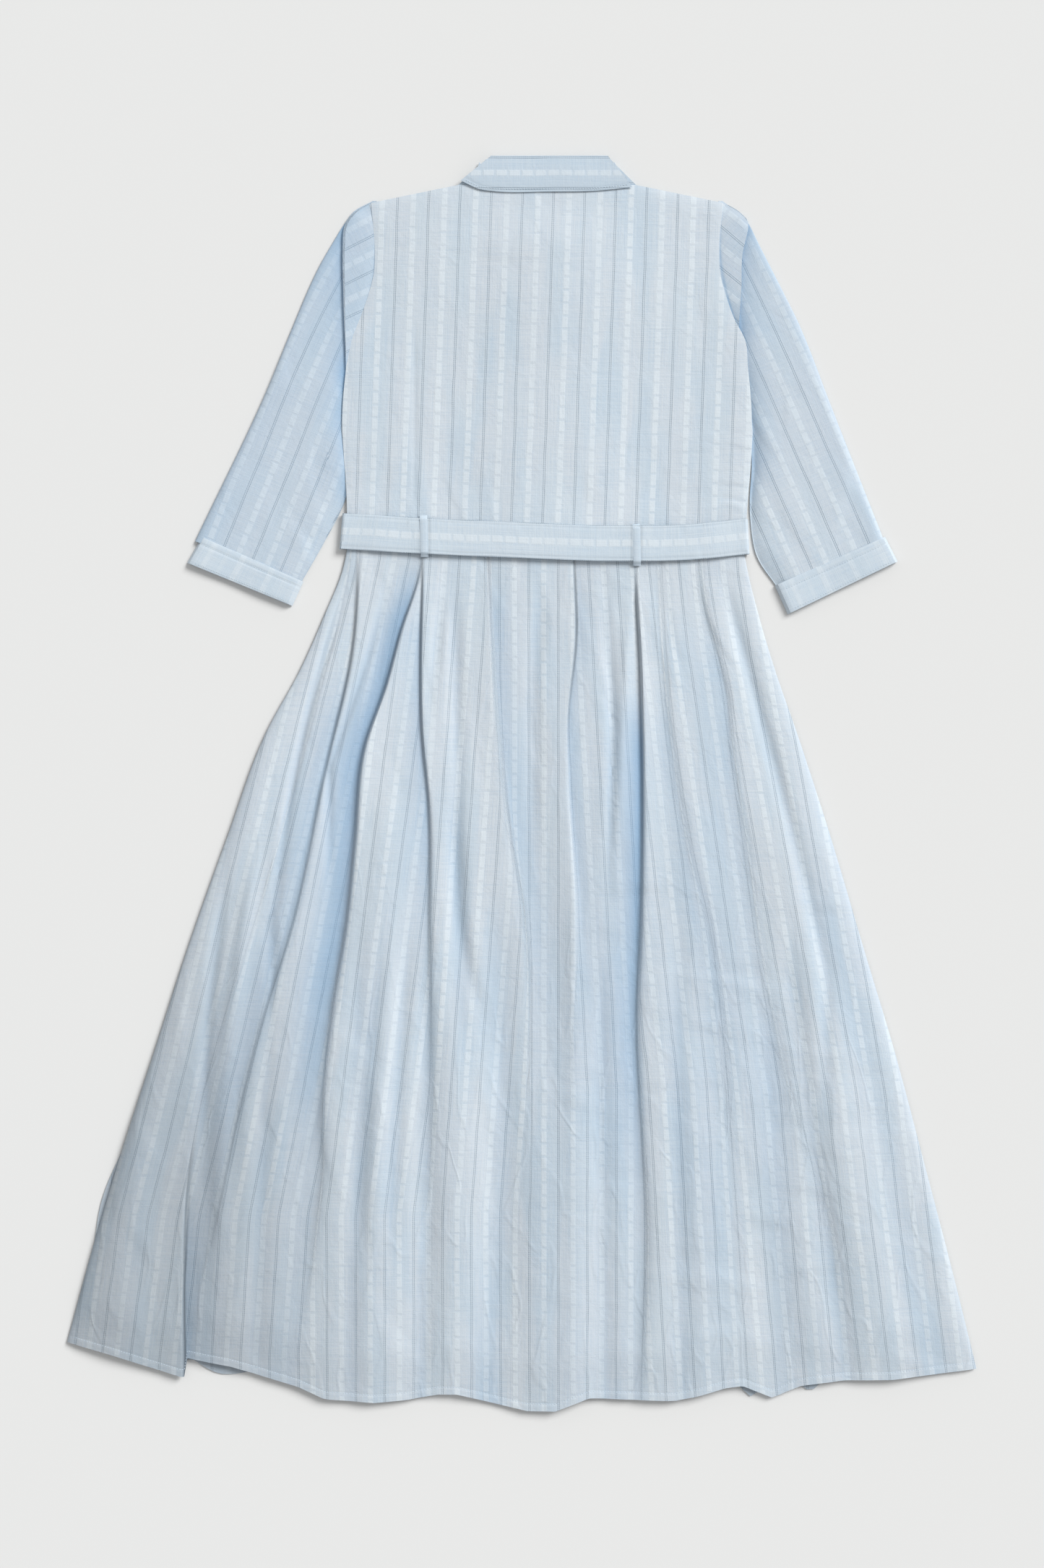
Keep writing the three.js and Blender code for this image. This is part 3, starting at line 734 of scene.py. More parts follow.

# Each fold: its line from waist to hem as (along, across), the side its step faces, the step's height,
# how far the valley and the ridge reach, where it starts and ends, the cloth it hides at the waist,
# how sharp its step is, how dark the painted shade in its valley and on its crease is, and from where down to
# where that shade runs.
folds = {
    "edge": {
        "line": [(300, -205), (254, -210), (60, -255), (-175, -322), (-341, -372), (-422, -386),
                 (-524, -391), (-618, -391), (-690, -392)],
        "facing": 1, "step": 3.6, "valley": 14, "ridge": 26, "top": -380, "end": -900, "hides": 10,
        "sharp": 1.2, "dark": 0.4, "crease": 0.5, "darkTop": -420, "darkEnd": -900, "softens": 0.2,
    },
    "left": {
        "line": [(300, -202), (248, -203), (148, -209), (12, -239), (-150, -273), (-253, -305),
                 (-354, -331), (-456, -352), (-557, -376), (-690, -388)],
        "facing": -1, "step": 4.4, "valley": 18, "ridge": 22, "top": 236, "end": -640,
        "hides": 43.2, "sharp": 1.6, "dark": 0.52, "crease": 0.35, "darkTop": 150, "darkEnd": -560,
    },
    "deep": {
        "line": [(300, -134), (233, -136.5), (163, -158), (107, -173), (41, -196), (-62, -207),
                 (-150, -216), (-236, -230), (-321, -240), (-422, -242), (-524, -254), (-642, -271),
                 (-690, -276)],
        "facing": -1, "step": 7.5, "valley": 23, "ridge": 15, "top": 240, "end": -620, "hides": 65,
        "sharp": 1.2, "dark": 0.68, "crease": 0.2, "darkTop": 262, "darkEnd": -440, "flat": 2.6,
    },
    "straight": {
        "line": [(300, -134), (244, -134), (49, -134), (-25, -127), (-150, -126), (-400, -125),
                 (-690, -130)],
        "facing": -1, "step": 4.4, "valley": 13, "ridge": 20, "top": 246, "end": -470, "hides": 45,
        "sharp": 1.0, "dark": 0.5, "crease": 0.35, "darkTop": 236, "darkEnd": -320,
    },
    "grey": {
        "line": [(300, -66), (244, -64), (93, -55), (-43, -41), (-150, -23), (-323, -18),
                 (-690, -20)],
        "facing": 1, "step": 3.0, "valley": 22, "ridge": 14, "top": 250, "end": -460, "hides": 55.9,
        "sharp": 2.8, "dark": 0.3, "crease": 0.1, "darkTop": 262, "darkEnd": -420, "flat": 2,
    },
    "slit": {
        "line": [(300, 29), (242, 29), (160, 31), (64, 22), (12, 23), (-150, 33), (-323, 25),
                 (-690, 22)],
        "facing": 1, "step": 4.6, "valley": 12, "ridge": 17, "top": 248, "end": -330, "hides": 33.6,
        "sharp": 0.9, "dark": 0.34, "crease": 0.75, "darkTop": 262, "darkEnd": -330, "creaseEnd": 0,
    },
    "tent": {
        "line": [(300, 96), (225, 96), (122, 101), (-150, 101), (-253, 97), (-388, 103),
                 (-456, 107), (-642, 102), (-690, 101)],
        "facing": -1, "step": 6.6, "valley": 15, "ridge": 19, "top": 228, "end": -800,
        "hides": 64.5, "sharp": 1.1, "dark": 0.92, "crease": 0.25, "darkTop": 120, "darkEnd": -520,
    },
    "soft": {
        "line": [(300, 122), (200, 124), (85, 130), (-62, 152), (-152, 175), (-287, 191),
                 (-388, 198), (-490, 205), (-642, 212), (-690, 214)],
        "facing": -1, "step": 2.6, "valley": 22, "ridge": 26, "top": 150, "end": -800,
        "hides": 33.6, "sharp": 4.5, "dark": 0.36, "crease": 0.0, "darkTop": 120, "darkEnd": -640,
    },
    "last": {
        "line": [(300, 165), (214, 167), (96, 195), (41, 200), (-62, 214), (-202, 232), (-323, 259),
                 (-490, 310), (-690, 340)],
        "facing": -1, "step": 2.4, "valley": 22, "ridge": 26, "top": 225, "end": -700,
        "hides": 33.6, "sharp": 3.6, "dark": 0.3, "crease": 0.12, "darkTop": 200, "darkEnd": -500,
        "creaseEnd": 0,
    },
}

# Softer rolls that hide no cloth: height (minus for a valley, whose hollow also gets painted shade), half
# width, start, end and line.
rolls = [
    (2.2, 7, 226, -90, [(225, 92), (196, 91), (104, 84), (-11, 80), (-150, 74)]),
    (-3.2, 17, -120, -900, [(-100, -55), (-152, -55), (-456, -51), (-596, -61), (-690, -64)]),
    (1.8, 22, 60, -800, [(120, -95), (-60, -92), (-300, -92), (-690, -100)]),
    (2.2, 24, 60, -800, [(100, 62), (-100, 66), (-400, 66), (-690, 70)]),
    (2.6, 22, 20, -900, [(60, -170), (-200, -178), (-690, -200)]),
    (2.6, 26, 20, -900, [(60, -262), (-200, -300), (-450, -318), (-690, -330)]),
    (2.4, 24, -20, -900, [(0, 150), (-300, 152), (-690, 160)]),
    (2.8, 30, 10, -900, [(0, 235), (-300, 300), (-690, 372)]),
    (-2.0, 22, -60, -900, [(0, 262), (-300, 345), (-690, 430)]),
    (-2.8, 18, -230, -900, [(-250, 236), (-450, 246), (-690, 258)]),
    (2.6, 20, -260, -900, [(-300, -440), (-500, -462), (-690, -480)]),
    (1.8, 22, -280, -900, [(-300, 8), (-690, 2)]),
    (-2.8, 7, -150, -560, [(-150, -178), (-300, -190), (-430, -201)]),
    (-3.2, 7, -150, -560, [(-130, -148), (-300, -160), (-450, -168)]),
    (-2.6, 6, -90, -480, [(-100, -346), (-250, -365), (-370, -371)]),
    (3.0, 8, -60, -560, [(-60, -310), (-250, -338), (-420, -352)]),
    (-2.4, 6, 250, 30, [(250, -108), (160, -118), (100, -124)]),
    (-2.6, 5, 240, -300, [(245, -207), (60, -262), (-147, -297)]),
    (-2.4, 5, 240, -150, [(240, -166), (170, -184), (17, -235)]),
    (-2.4, 7, 240, -330, [(235, -101), (40, -97), (-175, -90), (-256, -70)]),
    (-2.4, 5, 240, -160, [(235, 60), (60, 70), (-100, 66)]),
    (-2.4, 7, 235, -420, [(235, 186), (88, 226), (-69, 268), (-200, 300)]),
    (-2.4, 9, -160, -900, [(-200, -200), (-450, -207), (-690, -212)]),
    (-2.2, 9, -200, -900, [(-250, -128), (-690, -136)]),
    (-2.2, 8, -180, -900, [(-250, 58), (-690, 62)]),
    (-2.4, 8, -140, -900, [(-200, 140), (-690, 146)]),
    (-2.2, 9, -140, -900, [(-200, 262), (-690, 330)]),
    (2.0, 10, -100, -900, [(-100, 30), (-690, 30)]),
    (-2.4, 8, -240, -900, [(-260, -300), (-690, -318)]),
    (-2.8, 10, 0, -360, [(-20, -102), (-180, -96), (-300, -86)]),
    (-1.8, 8, 246, -120, [(236, -6), (120, -14), (0, -16)]),
]

foldLook = {
    "widens": 0.9,  # how much wider a fold is at the hem
    "ridgeShare": 0.55,
    "valleyShare": 0.65,
    "softens": 5.5,  # how much softer its step is at the hem
    # the most painted shade in a valley and on a crease, and the painted shade in a roll's hollow per mm of
    # depth
    "shadeMost": 0.92,
    "creaseShadeMost": 0.6,
    "rollHeight": 1.35,
    "rollShade": 0.062,
}


def foldColumns():
    # Places of the columns as (fold, share of the way to the next), closer together near each fold.
    lines = [skirtLeft] + [curveThrough(fold["line"]) for fold in folds.values()] + [skirtRight]
    spans = []
    for k, count in enumerate(skirtLook["columns"]):
        for i in range(count):
            t = i / count
            spans.append((k, 0.45 * t + 0.55 * (0.5 - 0.5 * math.cos(math.pi * t))))
    spans.append((len(skirtLook["columns"]) - 1, 1.0))
    return lines, spans


def foldShape(x, y):
    # Height, hidden cloth, painted valley shade and painted crease shade of all the folds at (x, y).
    look = foldLook
    height, hidden, tint, creaseShade = [np.zeros_like(x) for _ in range(4)]
    for fold in folds.values():
        fromLine = x - curveThrough(fold["line"])(y)
        off = fromLine * -fold["facing"]  # plus on the ridge side
        opened = ease((fold["top"] + 14 - y) / 50) * ease((y - fold["end"]) / 260)
        spread = 1 + look["widens"] * ease((fold["top"] - y) / 700)
        softer = 1 + fold.get("softens", look["softens"]) * ease((110 - y) / 520)
        side = 0.5 + 0.5 * np.tanh(off / (fold["sharp"] * softer))
        reach = np.abs(off)
        hollow = np.exp(-(reach / (fold["valley"] * spread)) ** fold.get("flat", 1))
        ridge = side * np.exp(-reach / (fold["ridge"] * spread))
        step = look["ridgeShare"] * ridge - look["valleyShare"] * (1 - side) * hollow
        height += opened * fold["step"] * step
        # painted shade in the valley beside the step
        darkRun = ease((fold["darkTop"] - y) / 90) * (0.25 + 0.75 * ease((y - fold["darkEnd"]) / 280))
        tint += fold["dark"] * darkRun * (1 - side) * hollow ** 1.15
        # painted shade in a thin line along the crease
        creaseRun = ease((y - fold.get("creaseEnd", fold["darkEnd"])) / 200)
        creaseShade += fold["crease"] * opened * creaseRun * np.exp(-((off + 0.9) / 1.4) ** 2)
        stays = np.clip((y - fold["end"]) / (fold["top"] - fold["end"]), 0, 1)
        right = 0.5 + 0.5 * np.tanh(fromLine / (fold["sharp"] * 1.1))
        atWaist = fold["line"][1][1]
        hidden += fold["hides"] * stays * (right if atWaist > 0 else right - 1)
    for rise, half, top, end, line in rolls:
        off = x - curveThrough(line)(y)
        there = ease((top + 30 - y) / 130) * ease((y - end) / 160)
        spread = 1 + 0.5 * ease(-y / 700)
        height += look["rollHeight"] * there * rise * np.exp(-(off / (half * spread)) ** 2)
        # painted shade in a roll's hollow
        if rise < 0:
            tint += look["rollShade"] * -rise * there * np.exp(-(off / (0.8 * half)) ** 2)
    return height, hidden, np.clip(tint, 0, look["shadeMost"]), np.clip(creaseShade, 0, look["creaseShadeMost"])


def makeBackSkirt():
    look = skirtLook
    lines, spans = foldColumns()
    t = np.linspace(0, 1, look["rows"])
    t = t * (0.8 + 0.2 * t) * 0.984  # rows closer together near the waist
    t = np.concatenate([t, 1 - np.array(look["hemRows"]) / look["length"]])[:, None]
    x = np.linspace(-215, 215, len(spans))[None, :] * (1 + t)
    for _ in range(4):
        high = waistLine(np.clip(x, -220, 220)) - look["topTuck"]
        y = high + t * (hemY(x) - high)
        edges = [line(y) for line in lines]
        x = np.stack([edges[k][:, i] * (1 - f) + edges[k + 1][:, i] * f for i, (k, f) in enumerate(spans)], 1)
    relief, hidden, tint, creaseShade = foldShape(x, y)
    inside = np.minimum(x - skirtLeft(y), skirtRight(y) - x)
    down = ease((236 - y) / 330)
    edge = np.sqrt(1 - (1 - np.clip(inside / (12 + 16 * down), 0, 1)) ** 2)
    ripple = np.sin(x / (13 - y / 90) + 1.3 * np.sin(y / 110 + x / 60))
    level = look["level"] + look["rise"] * down + relief * (0.35 + 0.65 * ease((250 - y) / 90))
    for lowOnly, *row in look["creases"]:
        level = level + creases(x, y, *row) * (down if lowOnly else 1)
    level = level + look["ripple"] * down * ripple
    # the hem: turned-up cloth, its stitched groove and small puckers
    fromHem = y - hemY(x)
    level = level + 0.5 * (1 - ease((fromHem - 7) / 2)) - 0.5 * np.exp(-((fromHem - 8) / 1.1) ** 2)
    level = level + 0.35 * np.sin(x / 3.1) * np.sin(x / 7.3 + 1) * (1 - ease((fromHem - 4) / 9))
    hemSag = 1 - 0.40 * ease(1 - fromHem / 60)
    floorUp = look["frontLevel"] + 1.0
    z = floorUp + (np.maximum(level * hemSag, 3.2) - floorUp) * edge
    lean = 1.06 + 0.02 * ease((240 - y) / 880)
    u = (x - look["stripeShift"]) * lean + hidden
    # painted shade: fold valleys, the rounded sides and the ripples' hollows
    waver = ripple * (0.6 + 0.4 * np.sin(x / 47 + y / 210))
    shade = tint + 0.12 * (1 - edge) * down + look["rippleShade"] * down * waver
    # painted shade darker towards the lower left and the hem and on the creases, and painted shadow under the
    # belt
    lowLeft = 0.29 * ease((-x - 120) / 300) * ease((-y - 20) / 380)
    beltShadow = 0.28 * ease(1 - (waistLine(x) - 17 - y) / 9) * ease((0.06 + tint) / 0.5)
    paintedShade = lowLeft + 0.02 * down + 0.05 * ease((-y - 250) / 300) + creaseShade + beltShadow
    rumpled = 0.45 + 0.55 * ease((-40 - y) / 300)
    obj = clothSheet("backSkirt", x, y, z, u, y, look["cloth"], shade, paintedShade, rumpled)
    finish(obj, dressCloth, "dress_cloth", "back_skirt_upper", "back_skirt_lower")
    return obj, x, y, z


def makeFrontSkirt():
    look = skirtLook
    s = np.linspace(0, 1, look["frontColumns"])[None, :]
    t = np.linspace(0, 1, look["frontRows"])[:, None]
    x = -215 + 430 * s + 0 * t
    for _ in range(4):
        high = waistLine(np.clip(x, -220, 220)) - 6
        y = high + t * (hemY(x) + 3 - high)
        x = (skirtLeft(y) + 0.6) * (1 - s) + (skirtRight(y) - 0.6) * s
    x = x - 6 * bell((y + 447) / 60) * (1 - ease(s / 0.12))  # peeks out at the left
    drop = 14 * bell((x + 352) / 44) + 12 * bell((x - 218) / 14) + 10 * bell((x - 285) / 16)
    y = y - drop * ease((t - 0.9) / 0.1)
    z = look["frontLevel"] + 2.2 * bell((y - waistLine(x)) / 60)
    z = z + 0.4 * np.sin(x / 23) * ease((200 - y) / 200) + 0.2
    plain = np.ones_like(x)
    # painted shade: the front ply lies beneath the back and is evenly darker, with a little bluer valley
    # shade; the same value also sets its rumple bump
    inner = look["frontDim"] * plain
    obj = clothSheet("frontSkirt", x, y, z, x * 0.94 + 4, y, look["cloth"], 0.1 * plain, inner, inner)
    finish(obj, dressCloth, "dress_cloth", "front_skirt_upper", "front_skirt_lower")
    return obj


def makeHemStitches(x, y, z):
    row = -5
    path = np.stack([x[row], y[row], z[row] + 0.12], 1)[3:-3]
    stitchRow("hemStitches", path, "dress_cloth", "lower_skirt")


backSkirt, skirtX, skirtY, skirtZ = makeBackSkirt()
frontSkirt = makeFrontSkirt()
for piece in (backSkirt, frontSkirt):
    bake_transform(piece)
makeHemStitches(skirtX, skirtY, skirtZ)
print("skirt made")


# ---- sleeves and cuffs

sleeveLook = {
    "rows": 130,
    "across": [16, 46],  # columns from the inner edge to the crease, and on to the outer edge
    "height": 5.6,
    "cloth": 0.4,
    "bend": 12,
    "flat": (0.33, 0.42),
    "area": 0.075,
}

# Lines as (share of the length, across, along); "tip" is where the armhole crease ends.
sleeveShape = {
    "left": {
        "inner": [(0, -184, 629), (0.15, -181.5, 577), (0.25, -187, 526), (0.36, -207, 473),
                  (0.44, -214.5, 432), (0.6, -219, 390), (0.78, -215, 318), (0.84, -222, 296),
                  (0.91, -242, 258), (1, -266, 216)],
        "crease": [(0, -187.5, 629), (0.08, -209, 616), (0.13, -218, 604), (0.2, -220.5, 576),
                   (0.3, -219.5, 520), (0.44, -218, 434), (0.6, -236, 400), (0.78, -240, 336),
                   (0.91, -262, 268), (1, -284, 223)],
        "outer": [(0, -188, 629.5), (0.08, -210, 616.5), (0.13, -219, 604), (0.2, -229, 588),
                  (0.25, -243, 564), (0.31, -253, 544), (0.45, -276, 490), (0.62, -303, 424),
                  (1, -380, 262)],
        "arm": "left_arm",
        "tip": 0.44,
        "tilt": 27,  # degrees, stripes in the head
        "turn": 67.7,  # and in the arm
        "bend": 0.0007,
        "angles": (40, 120),  # of its creases
        # painted shade over the whole sleeve
        "tint": 0.16,
    },
    "right": {
        "inner": [(0, 185, 629), (0.1, 183, 600), (0.2, 183.5, 570), (0.3, 189, 536),
                  (0.38, 202, 486), (0.6, 216, 404), (0.72, 221, 350), (0.84, 219.3, 288),
                  (0.9, 224.3, 252), (1, 249, 211)],
        "crease": [(0, 188.5, 629), (0.08, 209, 616), (0.13, 217, 605), (0.2, 211, 572),
                   (0.3, 209.5, 534), (0.38, 207, 486), (0.6, 232, 412), (0.72, 240, 362),
                   (0.84, 234, 300), (0.9, 240, 262), (1, 268, 219)],
        "outer": [(0, 189, 629.5), (0.08, 210, 614), (0.13, 218, 604), (0.2, 229, 582),
                  (0.27, 254, 533), (0.45, 277, 485), (0.66, 306, 410), (1, 363, 265)],
        "arm": "right_arm",
        "tip": 0.38,
        "tilt": 40,  # degrees, stripes in the head
        "turn": 66.4,  # and in the arm
        "bend": 0.0002,
        "angles": (60, 140),  # of its creases
        # painted shade over the whole sleeve
        "tint": 0.05,
    },
}


def pathOf(stations):
    return curveThrough([(t, x) for t, x, _ in stations]), curveThrough([(t, y) for t, _, y in stations])


def sleeveStripes(shape, sign, x, y, inPatch):
    # Cloth coordinates on a sleeve; the head turns the cloth to a shallower slope.
    turn, tilt = math.radians(shape["turn"]), math.radians(shape["tilt"])
    away = x * sign
    u = away * math.sin(turn) + y * math.cos(turn) + shape["bend"] * np.maximum(y - 440, 0) ** 2
    v = y * math.sin(turn) - away * math.cos(turn)
    uPatch = away * math.sin(tilt) + y * math.cos(tilt)
    vPatch = y * math.sin(tilt) - away * math.cos(tilt)
    return np.where(inPatch, uPatch - 9.8, u - 18.4), np.where(inPatch, vPatch, v)


def underOf(grid):  # every second column, back from the outer fold to the inner one
    return grid[:, ::-2][:, 1:-1]


def makeSleeve(side):
    look, shape = sleeveLook, sleeveShape[side]
    sign = -1 if side == "left" else 1
    t = np.linspace(0, 1, look["rows"])[:, None]
    lines = [pathOf(shape[key]) for key in ("inner", "crease", "outer")]
    inner, crease, outer = [(cx(t), cy(t)) for cx, cy in lines]
    near, far = look["across"]
    first = np.linspace(0, 1, near)[None, :]
    second = 0.5 - 0.5 * np.cos(np.pi * np.linspace(0.02, 1, far))
    second = (second * 0.5 + 0.5 * np.linspace(0.015, 1, far))[None, :]
    x, y = [np.concatenate([inner[k] + first * (crease[k] - inner[k]),
                            crease[k] + second * (outer[k] - crease[k])], 1) for k in (0, 1)]
    inPatch = (np.arange(x.shape[1])[None, :] < near) & (t < shape["tip"])
    fromInner = np.hypot(x - inner[0], y - inner[1])
    fromOuter = np.hypot(x - outer[0], y - outer[1])
    armhole = 1 - ease((t - shape["tip"] + 0.06) / 0.1)
    seam = 2.2 * armhole + 1.4 * (1 - armhole)
    puff = look["height"] * ease(t / 0.1) * (0.72 + 0.28 * ease((t - 0.3) / 0.3))
    rise = seam + (puff - seam) * (1 - np.exp(-(fromInner / 11) ** 1.3))
    roll = np.sqrt(1 - (1 - np.clip(fromOuter / 9, 0, 1)) ** 2)
    zTop = 1.0 + (rise - 1.0) * roll
    off = (x - crease[0]) * sign  # plus away from the body
    pressed = ease((t - 0.09) / 0.05) * (1 - ease((t - shape["tip"] + 0.03) / 0.10))
    zTop = zTop + pressed * roll * np.where(off > 0.01, -2.6 * np.exp(-off / 16), 0.7 * np.exp(off / 9))
    low = ease((t - shape["tip"] + 0.08) / 0.08)
    zTop = zTop - 1.6 * low * np.exp(-fromInner / 9) * (1 - ease((t - 0.8) / 0.1))
    area = (x.min(), x.max(), 230, 560)
    zTop = zTop + roll * creases(x, y, 31 + sign, 26, area, shape["angles"], (18, 60), (3, 7), (-0.9, 0.9))
    zTop = np.maximum(zTop, 1.0)
    zUnder = np.full_like(underOf(x), 0.5)
    u, v = sleeveStripes(shape, sign, x, y, inPatch)
    # painted shade: beside the armhole crease, along the inner edge under the bodice, towards the outer fold,
    # over the whole sleeve, and in a thin line by the armhole seam
    shade = np.where(off > 0, 0.45 * pressed * np.exp(-np.abs(off) / 13), 0.08 * pressed)
    shade = shade + 0.60 * low * np.exp(-fromInner / 15) * (1 - ease((t - 0.76) / 0.10))
    shade = shade + 0.16 * np.exp(-fromOuter / 22) + shape["tint"]
    shade = shade + 0.45 * armhole * np.exp(-((fromInner - 3.4) / 1.6) ** 2) * ease((t - 0.02) / 0.05)
    layers = ((x, underOf(x)), (y, underOf(y)), (zTop, zUnder))
    rings = np.stack([np.concatenate(pair, 1) for pair in layers], 2)
    uAll, vAll = [np.concatenate([g, underOf(g), g[:, :1]], 1) for g in (u, v)]
    shadeAll = np.concatenate([shade, underOf(shade)], 1)
    if sign < 0:
        rings, uAll, vAll, shadeAll = [g[:, ::-1] for g in (rings, uAll, vAll, shadeAll)]
    obj = clothTube(side + "Sleeve", rings, uAll, vAll, look["cloth"], shadeAll)
    finish(obj, dressCloth, "dress_cloth", side + "_sleeve_head", side + "_sleeve")
    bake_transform(obj)


cuffLook = {
    "rows": 26,
    "columns": 46,
    "depth": 28,
    "height": 6.6,
    "cloth": 0.5,
    "stitched": {"Top": 6, "Low": 23},  # rows of the grid that carry stitches
    "flat": (0.24, 0.028),
    "corners": {  # inner top, outer top, outer low, inner low
        "left": [(-372.5, 266.5), (-263, 218), (-275, 192), (-388.5, 238.5)],
        "right": [(246, 214), (365, 266.5), (378.5, 240), (260, 183)],
    },
}


def makeCuff(side):
    look = cuffLook
    innerTop, outerTop, outerLow, innerLow = look["corners"][side]
    t = np.linspace(0, 1, look["rows"])[:, None]
    s = np.linspace(0, 1, look["columns"])[None, :]
    topX, topY = [innerTop[k] * (1 - s) + outerTop[k] * s for k in (0, 1)]
    lowX, lowY = [innerLow[k] * (1 - s) + outerLow[k] * s for k in (0, 1)]
    x = topX * (1 - t) + lowX * t
    y = topY * (1 - t) + lowY * t
    span = math.dist(innerTop, outerTop)
    fromTop = t * look["depth"]
    fromLow = (1 - t) * look["depth"]
    roll = np.sqrt(1 - (1 - np.clip(np.minimum(s, 1 - s) * span / 6, 0, 1)) ** 2)
    seam = 0.5 * np.exp(-((fromTop - 7) / 0.9) ** 2)
    edges = 0.6 * np.exp(-fromTop / 1.5) + 0.6 * np.exp(-fromLow / 1.5)
    zTop = 1.2 + (look["height"] + 0.5 * np.sin(s * 9 + 1) - seam - edges - 1.2) * roll
    back = slice(-2, 0, -1)  # the under layer's columns, outer to inner
    zUnder = np.full_like(x[:, back], 0.4)
    layers = ((x, x[:, back]), (y, y[:, back]), (zTop, zUnder))
    rings = np.stack([np.concatenate(pair, 1) for pair in layers], 2)
    u, v = [np.concatenate([g, g[:, back], g[:, :1]], 1) for g in (s * span + 0 * t, fromTop + 0 * s)]
    obj = clothTube(side + "Cuff", rings, u, v, look["cloth"], np.zeros(rings.shape[:2]))
    arm = sleeveShape[side]["arm"]
    finish(obj, cuffCloth, "dress_cloth", side + "_cuff", body=arm)
    for label, row in look["stitched"].items():
        path = np.stack([x[row], y[row], zTop[row] + 0.1], 1)[3:-3]
        stitchRow(side + "CuffStitches" + label, path, "dress_cloth", arm)


for side in ("left", "right"):
    makeSleeve(side)
    makeCuff(side)
print("sleeves made")


# ---- collar

collarLook = {
    "columns": 150,
    "fallRows": 34,
    "turnRows": 7,
    "standRows": 10,
    "fold": 677,
    "foldHalf": 1.2,
    "stand": 646,
    "standHalf": 97,
    "highLeft": -61,
    "highRight": 66,
    "lowLeft": -93,
    "lowRight": 92,
    "fallHeight": 8.3,
    "standHeight": 4.0,
    "cloth": 0.6,
    "stripeShift": 16.8,
    "stripeFrom": 658,
    "blend": (5.0, 6.2),  # from the bodice's height to the leaf's
    "flat": (0.194, 0.072),
    "area": 0.0125,
}
collarEdge = curveThrough([(-93, 650), (-86, 646.5), (-74, 641), (-58, 638.6), (0, 638),
    (60, 639.5), (92, 643)])


def makeCollar():
    look = collarLook
    foldY = look["fold"] - look["foldHalf"]
    s = np.linspace(0, 1, look["columns"])[None, :]
    # fall: from its lower edge up to the fold line
    fallRows = np.linspace(0, 1, look["fallRows"])[:, None]
    lowX = look["lowLeft"] + s * (look["lowRight"] - look["lowLeft"])
    highX = look["highLeft"] + s * (look["highRight"] - look["highLeft"])
    lowY = collarEdge(lowX)
    fallX = lowX + fallRows * (highX - lowX)
    fallY = lowY + fallRows * (foldY - lowY)
    fallZ = look["fallHeight"] - 0.6 * np.exp(-(fallY - lowY) / 5)
    fallZ = fallZ + 0.5 * np.sin(fallRows * np.pi) + 0.15 * np.sin(lowX / 15)
    fallZ = fallZ - 0.3 * np.exp(-((fallY - lowY - 3.2) / 0.8) ** 2)  # stitched groove
    fallZ[-1] = look["fallHeight"]
    # fold and stand
    turn = np.linspace(0, 1, look["turnRows"] + 2)[1:-1, None] * np.pi
    half = (look["fallHeight"] - look["standHeight"]) / 2
    turnX = highX + 0 * turn
    turnY = foldY + look["foldHalf"] * np.sin(turn) + 0 * s
    turnZ = look["standHeight"] + half + half * np.cos(turn) + 0 * s
    standRows = np.linspace(0, 1, look["standRows"])[:, None]
    standX = highX + standRows * (look["standHalf"] * (2 * s - 1) - highX)
    standY = foldY + standRows * (look["stand"] - look["fold"]) + 0 * s
    standZ = look["standHeight"] + 0 * standX
    x = np.concatenate([fallX, turnX, standX])
    y = np.concatenate([fallY, turnY, standY])
    z = np.concatenate([fallZ, turnZ, standZ])
    u = y - look["stripeFrom"] + look["stripeShift"]
    hidden = np.arange(x.shape[0]) > look["fallRows"]
    u[hidden] = 2 * 678 - y[hidden] - look["stripeFrom"] + look["stripeShift"]
    # rows now run from the stand over the fold to the fall's edge
    x, y, z, u = [np.flip(g, 0) for g in (x, y, z, u)]
    # the whole collar a little darker and bluer
    obj = clothSheet("collarCloth", x, y, z, u, x, look["cloth"], 0.05 * np.ones_like(x))
    finish(obj, facedCloth, "faced_cloth", "collar_leaf", "collar_stand")
    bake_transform(obj)
    row = np.stack([lowX[0], lowY[0] + 3.0, 0 * s[0] + 8.25], 1)[4:-4]
    stitchRow("collarStitches", row, "faced_cloth", "collar")


makeCollar()
print("collar made")


# ---- belt and its loops

beltLook = {
    "width": 38,
    "left": -219,
    "right": 214.2,
    "top": 9.6,
    "under": 0.95,
    "cloth": 1.0,
    "front": 8,
    "backColumns": 170,
    "frontColumns": 40,
    "turnColumns": 10,
    "stitchInset": 3.0,
    "stripeScale": 0.84,
    "stripeShift": 16.8,
    "loops": (-132.5, 96.5),
}
beltCentre = curveThrough([(-222, 272.5), (-134, 267), (-20, 262), (60, 259), (94, 258.9),
    (153, 260.4), (213, 266.5)])


